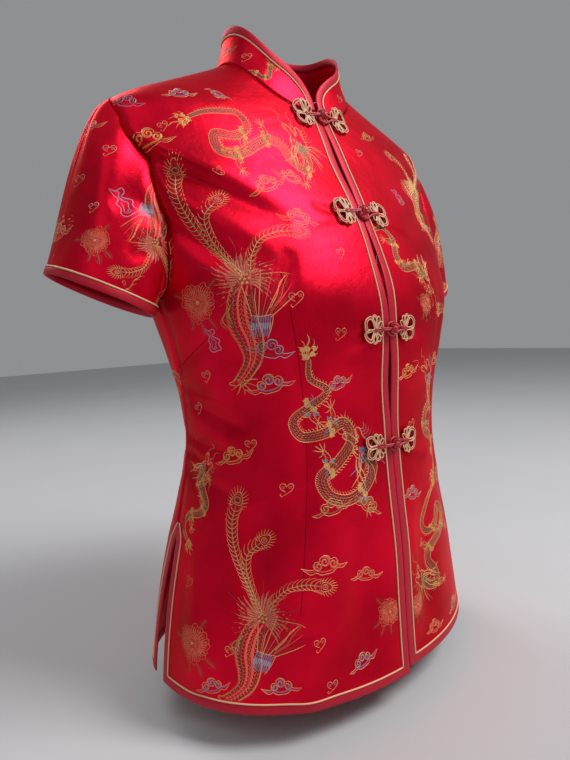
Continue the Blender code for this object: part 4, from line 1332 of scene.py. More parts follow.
def small_cloud(rim: int, fill: int) -> Drawing:
    """A little heart-shaped cloud with two curls and a tail, about 14 mm."""
    d = Drawing()
    d.line([(-5, -6.5), (-1.5, -4.4), (3.5, -1.5), (6, 2.2), (4.2, 5.2), (1.2, 4.2), (-0.4, 2.0), (-2, 5),
            (-5.4, 5.2), (-6.6, 2), (-4.4, -0.6), (-2.2, -2.0)], rim)
    d.curl(3.0, 1.9, 2.0, 150, 1.3, fill, 0.9)
    d.curl(-3.6, 2.1, 2.0, 30, -1.3, fill, 0.9)
    d.line([(-5, -6.5), (-6.8, -4.8), (-5.2, -3.6)], rim)
    return d


def flame_cloud(rim: int, fill: int) -> Drawing:
    """A torn strip of cloud that climbs, about 30 mm."""
    d = Drawing()
    d.line([(-9, 13), (-4, 11), (1, 13.5), (2.5, 9.5), (-1, 6.4), (3.4, 4.2), (8, 2), (6, -2.4), (9.4, -7),
            (4.2, -10), (-1, -12), (-5, -9), (-3.6, -4), (-6.6, 0.4), (-3.6, 4.2), (-7, 8),
            (-9, 13)], rim, 1.0)
    d.line([(-5.6, 10.6), (-1.4, 10.0), (-3.4, 6.2), (0.4, 2.2), (3.6, 0.4), (2.4, -4), (4.4, -7)], fill, 1.5)
    d.line([(-2.4, 1.4), (-1.4, -3.2), (-1.8, -8.2), (1.8, -9)], fill, 1.1)
    d.curl(2.2, -6.6, 2.4, 200, 1.2, rim, 0.7)
    return d


def leaf(d: Drawing, x: float, y: float, turn: float, length: float, rim: int, vein: int) -> None:
    """A pointed leaf with a midrib and veins."""
    one = Drawing()
    for side in (1, -1):
        one.line([(0, 0), (0.35 * length, side * 0.24 * length), (0.75 * length, side * 0.16 * length),
                  (length, 0)], rim, 0.6)
    rib = one.line([(0, 0), (0.5 * length, 0.03 * length), (0.94 * length, 0)], vein, 0.6)
    for side in (1, -1):
        one.combs(rib, 1.7, [(0, 0), (0.9, 0.8), (1.9, 1.4)], side, vein, 0.45, 0.15, 0.8, length / 11)
    d.take(one.placed(x, y, turn))


def peony(petal: int, rim: int) -> Drawing:
    """A peony: three rings of scalloped petals round a seeded heart, with leaves, about 30 mm."""
    d = Drawing()
    for ring, (count, reach, wide) in enumerate(((9, 14.0, 4.6), (7, 9.8, 3.8), (5, 5.8, 2.6))):
        for k in range(count):
            one = Drawing()
            r = reach * (1 + 0.10 * math.sin(2.3 * k + ring))
            one.line([(r * 0.45, -wide * 0.7), (r * 0.78, -wide), (r * 0.93, -wide * 0.55), (r * 0.86, 0),
                      (r, wide * 0.45), (r * 0.80, wide), (r * 0.45, wide * 0.7)], rim, 0.5, (1, 1), 2.0)
            for aside in (-0.55, -0.18, 0.2, 0.55):
                one.line([(r * 0.46, wide * aside * 0.7), (r * 0.66, wide * aside),
                          (r * 0.84, wide * aside * 0.9)], petal, 1.25, (0.6, 0.6), 2.2)
            d.take(one.placed(0, 0, 360 / count * k + 17 * ring))
    d.disc(0, 0, 2.2, PALE, rim)
    for turn, length in ((-70, 11), (-100, 12), (-128, 10), (150, 10), (32, 9)):
        way = math.radians(turn)
        leaf(d, 12.5 * math.cos(way), 12.5 * math.sin(way), turn, length, BROWN, OLIVE)
    return d


def sprig(rim: int, fill: int) -> Drawing:
    """A bare branch with narrow leaves, about 34 mm."""
    d = Drawing()
    stem = d.line([(-17, -7), (-9, -3), (-2, -3.4), (5, 1), (11, 1.6), (18, 7)], rim, 0.9)
    d.combs(stem, 5.2, [(0, 0), (2.4, 1.6), (5.4, 2.2), (7.2, 4.4)], 1, fill, 0.9, 0.1, 0.9)
    d.combs(stem, 6.1, [(0, 0), (2.6, 1.2), (5.0, 3.2)], -1, rim, 0.8, 0.15, 0.95)
    d.curl(9, 9, 3.2, -60, 1.1, rim, 0.7)
    d.curl(-5, 3.2, 2.6, -120, 1.1, rim, 0.7)
    return d


def plume(d: Drawing, controls: Any, eye: float, thread: int, shade: int, heart: int) -> None:
    """A tail feather: a double shaft, barbs that lengthen to the tip, and an eye."""
    path = d.line(controls, thread, 0.9, (1, 0.7))
    share = np.linspace(0, 1, len(path))
    d.add(path[None], 1.3 + 0.7 * share[None], BROWN)
    d.add(d.offset(path, 0.9 - 0.3 * share)[None], 0.45, shade)
    size = 0.70 + 0.80 * share ** 1.5
    barb = [(0, 0), (1.0, 2.0), (3.0, 3.4), (6.6, 4.1)]
    for side in (1, -1):
        d.combs(path, 3.6, barb, side, thread, 0.78, 0.03, 0.98, size)
        d.combs(path, 3.6, [(1.7, 0), (2.7, 1.8), (4.9, 2.7)], side, BROWN, 0.75, 0.06, 0.96, size)
    way = unit(path[-1] - path[-3])
    turn = heading(way)
    x, y = path[-1] + way * eye * 0.9
    one = Drawing()
    one.disc(0, 0, eye * 0.46, heart, thread)
    t = np.linspace(0, 2 * np.pi, 22)
    drop = np.stack([np.cos(t) * (1 + 0.25 * np.cos(t)), np.sin(t) * (0.80 - 0.18 * np.cos(t))], -1)
    one.add((drop * eye * 0.74)[None], 0.9, shade)
    one.add((drop * eye)[None], 0.55, thread)
    spikes = np.linspace(-2.5, 2.5, 15)
    base = np.stack([np.cos(spikes) * eye * 1.2, np.sin(spikes) * eye * 0.85], -1)
    lean = np.stack([np.cos(spikes * 0.72), np.sin(spikes * 0.72)], -1)
    hair = base[:, None] + lean[:, None] * (np.array([0, 1.9, 3.6]) * eye / 4.4)[None, :, None]
    hair[..., 0] += np.array([0, 0.2, 0.9])
    one.add(hair, np.array([[0.7, 0.55, 0.25]]), thread)
    d.take(one.placed(x, y, turn))


def phoenix(wing: int, plumage: int) -> Drawing:
    """A phoenix that dives: curling plumes above, fanned feathers, a banded wing and a scaled neck."""
    d = Drawing()
    plume(d, [(-2, 2), (-14, 16), (-26, 30), (-38, 47), (-45, 64), (-46, 78)], 5.4, PALE, OLIVE, BROWN)
    plume(d, [(0, 3), (-12, 16), (-22, 30), (-26, 44), (-19, 56)], 4.8, PALE, BROWN, CORAL)
    plume(d, [(4, 4), (6, 18), (12, 29), (24, 36), (36, 38)], 4.6, PALE, BROWN, CORAL)
    for k, bend in enumerate((-34, -20, -8, 10, 24, 36)):
        way = math.radians(90 - bend * 2.1)
        x, y = 34 * math.cos(way), 30 * math.sin(way)
        d.line([(0, 0), (x * 0.35 - 3, y * 0.4), (x * 0.75 + 2, y * 0.75), (x * 1.05, y + (-1) ** k * 3)],
               GOLD if k % 2 else BROWN, 0.8, (1, 0.1))
    for spread, reach_x, reach_y, count in ((0.0, 22.0, 20.0, 27), (0.3, 15.0, 13.5, 21)):
        t = np.radians(np.linspace(-42, 226, count))
        reach = 1 + 0.18 * np.sin(5.3 * t + spread)[:, None]
        inner = np.stack([np.cos(t), np.sin(t)], -1) * 4.0
        outer = np.stack([np.cos(t) * reach_x, np.sin(t) * reach_y], -1) * reach
        bend = np.array([0.0, 0.35, 0.72, 1.0])[None, :, None]
        fan = inner[:, None] * (1 - bend) + outer[:, None] * bend
        fan += np.sin(np.pi * bend) * 1.6 * np.stack([-np.sin(t), np.cos(t)], -1)[:, None]
        d.add(fan, np.array([[1.4, 2.8, 2.4, 0.5]]), plumage)
        d.add(fan[:-1] * 0.5 + fan[1:] * 0.5, np.array([[0.6, 0.9, 0.6, 0.2]]), BROWN)
        d.add(fan[::2], np.array([[0.5, 0.5, 0.4, 0.25]]), GOLD)
    for x, y in ((0, 0), (3.4, 0.6), (-3.2, 0.4), (1.6, 3.2), (-1.8, 3.0), (1.5, -2.6), (-1.7, -2.6)):
        d.disc(x, y, 1.5, PALE, OLIVE)
    # body: dark fill, then feathers that lap downwards
    middle = curve_through([(0, -4), (-3, -14), (-2.5, -28), (2, -40), (3, -52), (-3, -63), (-9, -69)], 2.2)
    share = np.linspace(0, 1, len(middle))
    half = 9.5 * (1 - share) ** 0.45 * (0.55 + 0.45 * np.sin(np.pi * np.clip(share * 1.25, 0, 1))) + 2.4
    for lane, fill in ((-0.7, BROWN), (-0.25, plumage), (0.25, plumage), (0.7, BROWN)):
        d.add(d.offset(middle, half * lane)[None], half[None] * 0.32 + 0.2, fill)
    for lane, thread in ((-0.8, PALE), (-0.48, GOLD), (-0.16, PALE), (0.16, GOLD), (0.48, PALE), (0.8, GOLD)):
        d.combs(d.offset(middle, half * lane), 2.9, [(0, -1.3), (1.7, -0.6), (1.7, 0.6), (0, 1.3)], 1,
                thread, 0.55, 0.05 + 0.03 * abs(lane), 0.97, half / 8)
    for side, thread in ((1, PALE), (-1, GOLD)):
        edge = d.offset(middle, half * side)
        d.add(edge[None], 0.7, thread)
        d.combs(edge, 2.6, [(0, 0), (1.8, 0.7), (3.6, 0.6)], side, thread, 0.7, 0.25, 1.0)
    # near wing: long striped quills that fan up to the right from a banded shoulder
    root = np.array([4.0, -34.0])
    for k in range(13):
        way = math.radians(112 - 5.6 * k)
        reach = 25 + 10 * math.sin(0.26 * k)
        c, s = math.cos(way), math.sin(way)
        x, y = root[0] + 1.1 * k, root[1] + 8
        d.line([(x, y), (x + 0.5 * reach * c + 1.4, y + 0.5 * reach * s),
                (x + reach * c + 2.6, y + reach * s)],
               (PALE, BROWN, plumage, BROWN)[k % 4], 1.1 if k % 2 else 0.8, (1, 0.25))
    for row, thread in enumerate((wing, SKY if wing == BLUE else GOLD, wing)):
        for k in range(9):
            x, y = root[0] + 1.6 * k - 0.5 * row, root[1] + 8 - 4.6 * row
            d.line([(x, y + 1.0), (x - 0.3, y - 1.4), (x - 0.9, y - 3.6)], thread, 1.7, (0.9, 0.5))
    d.line(root + [(-1.5, 9.4), (6, 8.6), (14.5, 9.8)], PALE, 0.8)
    d.line(root + [(15, 9.6), (13, 1), (10, -6)], PALE, 0.9)
    d.line([(17, -20), (22, -10), (24, -2), (30, 5)], PALE, 0.9, (1, 0.3))
    d.line([(17, -22), (24.5, -12), (26.5, -4), (31, 5)], GOLD, 0.7, (1, 0.3))
    # far wing: a dark folded one
    for k in range(6):
        d.line([(-7 - 0.9 * k, -12 - 1.5 * k), (-11 - 1.5 * k, -20 - 1.4 * k), (-8 - 1.1 * k, -30 - 0.6 * k)],
               (BROWN, GOLD, OLIVE)[k % 3], 1.2, (0.8, 0.3))
    d.line([(-8, -62), (-12, -67), (-16, -68.5), (-12.5, -70), (-9, -70.5), (-4, -68)], PALE, 0.8, (1, 1))
    d.disc(-8.4, -66.6, 0.9, ORANGE)
    for k in range(6):
        turn = math.radians(-150 + 32 * k)
        x, y = math.cos(turn), math.sin(turn)
        d.line([(-6 + 2 * x, -68 + 2 * y), (-6 + 6 * x + 1, -68 + 6 * y), (-5 + 11 * x, -69 + 9 * y)],
               PALE if k % 2 else GOLD, 0.8, (1, 0.2))
    for length, thread in ((17, BROWN), (13, GOLD)):
        for side in (1, -1):
            d.line([(side * 9, -3), (side * (9 + length * 0.5), -1 + side * 2),
                    (side * (9 + length), -5 + length * 0.2)], thread, 0.7, (1, 0.1))
    return d


def puff(d: Drawing, x: float, y: float, radius: float, thread: int) -> None:
    """A round puff of cloud: a thick curl inside a thin pale one."""
    d.curl(x, y, radius * 0.8, 40 * y, 1.8, thread, 1.9)
    d.curl(x, y, radius + 0.5, 40 * y, 0.85, PALE, 0.6)


def dragon(spine: Any, legs: Any, mane: int, flame: int, thick: float = 11.0) -> Drawing:
    """A dragon on a spine from tail to head.

    Args:
        spine: points from the tail's end to the neck.
        legs: for each leg, its share of the spine, side, length and turn.
        mane: thread of the mane and beard.
        flame: thread of the tail's tuft and the flames at the legs.
        thick: greatest thickness of the body.

    Returns:
        The drawing.
    """
    d = Drawing()
    path = curve_through(spine, 2.2)
    share = np.linspace(0, 1, len(path))
    half = thick / 2 * (0.22 + 0.78 * np.sin(np.pi * np.clip(share * 1.12 + 0.02, 0, 1) * 0.62 + 0.10) ** 0.9)
    upper, lower = d.offset(path, half), d.offset(path, -half)
    for lane in (-0.66, -0.22, 0.22, 0.66):
        d.add(d.offset(path, half * lane)[None], half[None] * 0.33 + 0.25, BROWN)
    for edge in (upper, lower):
        d.add(edge[None], 0.75, PALE)
    d.add(d.offset(path, -half * 0.55)[None], 0.45, GOLD)
    d.combs(lower, 2.2, [(0, 0), (0.9, 1.9)], 1, PALE, 0.55, 0.02, 0.99, half / 4.5)
    scale = [(0.0, -1.5), (1.9, -0.7), (1.9, 0.7), (0.0, 1.5)]
    for lane, start, thread in ((0.66, 0.0, PALE), (0.22, 0.006, PALE), (-0.22, 0.0, GOLD)):
        d.combs(d.offset(path, half * lane), 3.3, scale, 1, thread, 0.5, start, 0.99, half / 4.4)
    d.combs(upper, 3.3, [(0, 0), (-0.4, 1.6), (-1.9, 2.9)], 1, PALE, 1.1, 0.04, 0.98, 0.5 + half / 9)
    way = unit(path[0] - path[3])
    turn = heading(way)
    tuft = Drawing()
    tongues = ((-52, 11), (-34, 15), (-16, 19), (2, 23), (20, 19), (38, 15), (58, 10))
    for k, (lean, length) in enumerate(tongues):
        c, s = polar(lean)
        tuft.line([(0, 0), (0.4 * length * c - 1.5 * s, 0.4 * length * s + 1.5 * c),
                   (0.75 * length * c + 1.6 * s, 0.75 * length * s - 1.6 * c), (length * c, length * s)],
                  flame if k % 2 else PALE, 1.5 if k % 2 else 0.8, (1, 0.15))
    for x, y, r in ((3, 3.4, 3.0), (4, -3.2, 2.8), (9, 5.4, 2.8), (9.5, 0.6, 3.2), (10, -5.0, 2.4)):
        puff(tuft, x, y, r, flame)
    d.take(tuft.placed(path[0, 0], path[0, 1], turn))
    for at, side, length, bend in legs:
        at_leg = int(at * (len(path) - 2)) + 1
        away = unit(path[at_leg + 1 - (at >= 1)] - path[at_leg - 1])
        turn = heading(away) + side * 90 + bend
        leg = Drawing()
        leg.line([(-2, 3.4), (0.45 * length, 3.0), (0.62 * length, -1.0), (length, -2.2)], PALE, 0.7, (1, 1))
        leg.line([(-2, -3.4), (0.34 * length, -2.8), (0.56 * length, -4.6), (length, -4.6)],
                 PALE, 0.7, (1, 1))
        inside = curve_through([(-1, 0), (0.40 * length, 0), (0.60 * length, -2.8), (length, -3.4)], 1.6)
        for lane in (-1.1, 1.1):
            leg.combs(leg.offset(inside, np.full(len(inside), lane)), 2.3,
                      [(0, -0.9), (1.2, 0), (0, 0.9)], 1, GOLD, 0.5)
        for claw in (-62, -24, 12, 48, 118):
            c, s = polar(claw)
            leg.line([(length, -3.4), (length + 2.6 * c, -3.4 + 2.6 * s),
                      (length + 5.4 * c + 0.8, -3.4 + 5.0 * s),
                      (length + 6.4 * c + 2.0, -3.4 + 7.0 * s)], PALE, 0.9, (1, 0.2))
        for k, (x, y) in enumerate(((-7, 7), (-9, 3.5), (-8, 9.5))):
            leg.line([(0.2 * length, 3), (0.2 * length + x * 0.5, 3 + y * 0.7), (0.2 * length + x, 2 + y)],
                     flame if k % 2 else mane, 1.4, (1, 0.2))
        for x, y, r, thread in ((-1.5, 3.0, 3.2, flame), (3.4, -2.6, 2.8, mane), (4.6, 3.6, 3.4, flame),
                                (8.4, 0.6, 2.6, mane), (-5.0, 5.6, 2.6, flame)):
            puff(leg, x, y, r, thread)
        d.take(leg.placed(path[at_leg, 0], path[at_leg, 1], turn, 1.15))
    way = unit(path[-1] - path[-4])
    head = dragon_head(mane, flame)
    d.take(head.placed(path[-1, 0], path[-1, 1], heading(way), thick / 6.6))
    return d


def dragon_head(mane: int, flame: int) -> Drawing:
    """A dragon's head that looks along x: horns, curled nose, open jaws, beard, mane and whiskers."""
    d = Drawing()
    d.line([(-3, 4.5), (2, 6.4), (6, 5.0), (8, 2.9), (12, 3.6), (15.2, 5.4), (17.4, 3.6), (16.0, 1.2),
            (12, 0.2), (7, -0.6)], PALE, 0.9, (1, 1))
    d.line([(-3, -4.5), (2, -5.8), (7, -5.4), (12, -6.6), (14.4, -4.6), (11.4, -2.8), (7, -0.6)],
           PALE, 0.9, (1, 1))
    d.line([(7.6, -2.4), (11, -3.4), (14.8, -2.6), (17.2, -1.2)], CORAL, 1.2, (1, 0.3))
    d.curl(15.2, 3.3, 1.6, 90, 1.2, GOLD, 0.6)
    d.disc(4.4, 2.6, 1.5, PALE, BROWN)
    d.line([(1.2, 4.6), (4.4, 5.2), (7.4, 3.4)], flame, 1.3)
    teeth = np.array([8.6, 10.2, 11.8, 13.4])
    roots = np.stack([teeth, np.full(4, 0.0)], -1)
    tips = np.stack([teeth + 0.2, np.full(4, -1.5)], -1)
    d.add(np.stack([roots, tips], 1), np.array([[0.8, 0.25]]), PALE)
    for lift, reach in ((6.0, 19), (3.4, 15)):
        d.line([(1, lift), (-4, lift + 4.2), (-10, lift + 5.4), (-reach, lift + 8.6)], PALE, 1.2, (1, 0.25))
        d.line([(-6, lift + 4.9), (-8.4, lift + 8), (-12, lift + 9.6)], PALE, 0.9, (1, 0.25))
    for x, y, r in ((-2.5, 2.5, 3.0), (-3.0, -2.5, 2.6), (1.0, 0.2, 2.4)):
        d.curl(x, y, r, 50 * y, 2.2, mane, 1.9)
        d.curl(x, y, r + 0.7, 50 * y, 0.9, PALE, 0.6)
    for k in range(14):
        lean = math.radians(104 + 11.8 * k)
        c, s = math.cos(lean), math.sin(lean)
        reach = 17 + 5.0 * math.sin(1.7 * k)
        d.line([(-1 + 3.4 * c, 4.6 * s), (-1 + 0.55 * reach * c - 1.6 * s, 0.55 * reach * s + 1.6 * c),
                (-1 + reach * c + 1.2 * s, reach * s - 1.0 * c)],
               (mane, PALE, BROWN, GOLD)[k % 4], 1.0, (1, 0.15))
    for k in range(5):
        x = 3.5 + 2.1 * k
        d.line([(x, -5.8), (x - 1.6, -9), (x - 0.2 + 0.5 * k, -12.5 + 0.4 * k)],
               mane if k % 2 else GOLD, 0.9, (1, 0.2))
    d.line([(15, 2.4), (20, 5.5), (25, 3.2), (30, 7.4)], GOLD, 0.7, (1, 0.2))
    d.line([(13.5, -0.2), (19, -4.2), (23, -2.2), (27, -6.8)], GOLD, 0.7, (1, 0.2))
    return d


class Motif(Enum):
    """Spines and legs of the four dragons, in millimetres."""

    CHEST = (((-62, 26), (-46, 33), (-28, 36), (-10, 36), (-4, 20), (-20, 8), (-40, 8), (-38, -12),
              (-16, -12), (2, 0), (18, 8), (32, 2), (38, -14), (52, -24), (60, -10), (56, 8)),
             ((0.30, 1, 15, -10), (0.52, -1, 17, 12), (0.70, 1, 15, 20), (0.88, -1, 15, -14)))
    LOW = (((-30, 84), (-28, 66), (-12, 54), (-28, 40), (-44, 28), (-36, 12), (-14, 14), (4, 22),
            (12, 4), (-2, -14), (-20, -28), (-14, -46), (6, -52), (26, -42), (36, -24), (26, -8)),
           ((0.20, 1, 14, 16), (0.42, 1, 16, -10), (0.62, -1, 15, 10), (0.84, -1, 15, 12)))
    RUNNING = (((-56, 4), (-42, 20), (-24, 14), (-14, -6), (2, -14), (16, 0), (28, 14), (44, 8)),
               ((0.32, -1, 14, 10), (0.56, 1, 14, -12), (0.82, -1, 14, 8)))
    RISING = (((-10, -62), (8, -50), (14, -32), (-2, -20), (-16, -8), (-8, 10), (10, 14), (20, 30), (8, 46)),
              ((0.26, 1, 14, 10), (0.52, -1, 15, 0), (0.80, -1, 14, -10)))


def near_seam(row: Array) -> Array:
    """Free columns beside a seam, the same in every row."""
    return 0.12 + 0 * row


@dataclass
class Chart:
    """Lays flat drawings on a cloth grid by dropping them square on to it from a tangent plane."""

    cloth: Cloth
    low_row: float = 0.15
    high_row: float = 0.15
    low_column: Callable[[Array], Array] = near_seam
    high_column: Callable[[Array], Array] = near_seam
    wrap: int = 0

    def __post_init__(self) -> None:
        """Keep the grid and its slopes along rows and columns; a tube's columns run on past its seam."""
        self.points, self.normals = self.cloth.points, self.cloth.normals
        if self.cloth.tube:
            self.wrap = self.points.shape[1] // 3
            around = np.arange(-self.wrap, self.points.shape[1] + self.wrap) % self.points.shape[1]
            self.points, self.normals = self.points[:, around], self.normals[:, around]
        self.down, self.aside = np.gradient(self.points, axis=(0, 1))

    def nearest(self, target: Array) -> tuple[float, float]:
        """Row and column of the grid point nearest to a place in space."""
        inside = self.points[:, self.wrap:self.points.shape[1] - self.wrap]
        k = int(np.argmin(np.linalg.norm(inside - target, axis=-1)))
        row, column = np.unravel_index(k, inside.shape[:2])
        return float(row), float(column) + self.wrap

    def lay(self, strokes: Array, row: float, column: float) -> tuple[Array, Array, Array]:
        """Find the cloth under each point of a drawing by Newton's steps on the grid.

        Args:
            strokes: k x n x 2 millimetres from the anchor.
            row: the anchor's row.
            column: the anchor's column.

        Returns:
            Places on the cloth's inner face, normals, and which points are on the cloth.
        """
        where = np.array([[row]]), np.array([[column]])
        anchor = read_grid(self.points, *where)[0, 0]
        normal = unit(read_grid(self.normals, *where)[0, 0])
        right = unit(np.cross((0.0, 0.0, 1.0), normal))
        up = np.cross(normal, right)
        target = strokes / 1000
        i, j = np.full(strokes.shape[:2], row), np.full(strokes.shape[:2], column)
        rows, columns = self.points.shape[:2]
        for _ in range(9):
            gap = read_grid(self.points, i, j) - anchor
            miss = target - np.stack([gap @ right, gap @ up], -1)
            down, aside = read_grid(self.down, i, j), read_grid(self.aside, i, j)
            a, b, c, d = down @ right, aside @ right, down @ up, aside @ up
            size = a * d - b * c
            size = np.where(np.abs(size) < 1e-9, 1e-9, size)
            step_i = np.clip((d * miss[..., 0] - b * miss[..., 1]) / size, -12, 12)
            step_j = np.clip((a * miss[..., 1] - c * miss[..., 0]) / size, -12, 12)
            i, j = np.clip(i + step_i, 0, rows - 1), np.clip(j + step_j, 0, columns - 1)
        on = (np.linalg.norm(miss, axis=-1) < 0.0006) & (i > self.low_row) & (i < rows - 1 - self.high_row)
        if not self.cloth.tube:
            on &= (j > self.low_column(i)) & (j < columns - 1 - self.high_column(i))
        return read_grid(self.points, i, j), unit(read_grid(self.normals, i, j)), on


@dataclass
class Brocade:
    """The figured threads of one panel: raised ribbons of three sides, joined into one piece."""

    name: str
    chart: Chart
    blocks: list = field(default_factory=list)
    sunk: float = 0.00012
    crown: float = 0.00016
    swell: float = 1.28

    def draw(self, drawing: Drawing, row: float, column: float) -> None:
        """Lay a drawing with its origin at a row and column of the cloth."""
        for strokes, width, thread in drawing.blocks:
            places, normals, on = self.chart.lay(strokes, row, column)
            self.blocks.append((places, normals, on, width * self.swell / 1000, thread))

    def build(self, finishes: Sequence[Any]) -> bpy.types.Object:
        """Make the ribbons: foot, foot and crown at each point, with caps where a thread ends."""
        points, faces, plans, kinds = [], [], [], []
        total = 0
        for places, normals, on, width, thread in self.blocks:
            if places.shape[1] < 2:
                continue
            way = unit(np.gradient(places, axis=1))
            across = unit(np.cross(normals, way)) * width[..., None] / 2
            crown = self.crown * (0.55 if thread in (BROWN, OLIVE, CORAL, BLUE) else 1.0)
            foot, top = places + normals * (WALL - self.sunk), places + normals * (WALL + crown)
            rings = np.stack([foot - across, foot + across, top], axis=2)
            index = np.arange(rings[..., 0].size).reshape(rings.shape[:3])
            live = on[:, 1:] & on[:, :-1]
            a, b = index[:, :-1][live], index[:, 1:][live]
            cells = []
            for k, m in ((0, 1), (1, 2), (2, 0)):
                cells += [np.stack([a[:, k], a[:, m], b[:, m]], 1), np.stack([a[:, k], b[:, m], b[:, k]], 1)]
            edge = np.zeros((len(live), 1), bool)
            starts = live & ~np.concatenate([edge, live[:, :-1]], axis=1)
            ends = live & ~np.concatenate([live[:, 1:], edge], axis=1)
            cells += [index[:, :-1][starts][:, ::-1], index[:, 1:][ends]]
            cells = np.concatenate(cells)
            if not len(cells):
                continue
            used, cells = np.unique(cells, return_inverse=True)
            cells = cells.reshape(-1, 3)
            length = np.repeat(walked(places, axis=1)[..., None], 3, axis=2)
            girth = np.broadcast_to(np.array([0.0, 0.0008, 0.0004]), length.shape)
            points.append(rings.reshape(-1, 3)[used])
            plans.append(np.stack([length, girth], -1).reshape(-1, 2)[used])
            faces.append(cells + total)
            kinds.append(np.full(len(cells), thread))
            total += len(used)
        return make_piece(self.name, np.concatenate(points), np.concatenate(faces), np.concatenate(plans),
                          finishes, np.concatenate(kinds), smooth=False)


def motifs() -> dict[str, Drawing]:
    """Draw each motif once, by name."""
    return {
        "chest": dragon(*Motif.CHEST.value, OLIVE, ORANGE),
        "low": dragon(*Motif.LOW.value, BLUE, PALE),
        "running": dragon(*Motif.RUNNING.value, OLIVE, ORANGE, 9.5),
        "rising": dragon(*Motif.RISING.value, BLUE, GOLD, 10.0),
        "phoenix": phoenix(BLUE, CORAL),
        "phoenix gold": phoenix(ORANGE, PALE),
        "peony": peony(CORAL, GOLD),
        "sprig": sprig(GOLD, BROWN),
        "flame": flame_cloud(SKY, BLUE),
        "cloud gold": cloud(PALE, CORAL),
        "cloud orange": cloud(PALE, ORANGE),
        "cloud blue": cloud(PALE, BLUE),
        "cloud sky": cloud(SKY, BROWN),
        "cloud green": cloud(PALE, OLIVE),
        "small gold": small_cloud(PALE, CORAL),
        "small blue": small_cloud(PALE, BLUE),
        "small olive": small_cloud(GOLD, OLIVE),
    }


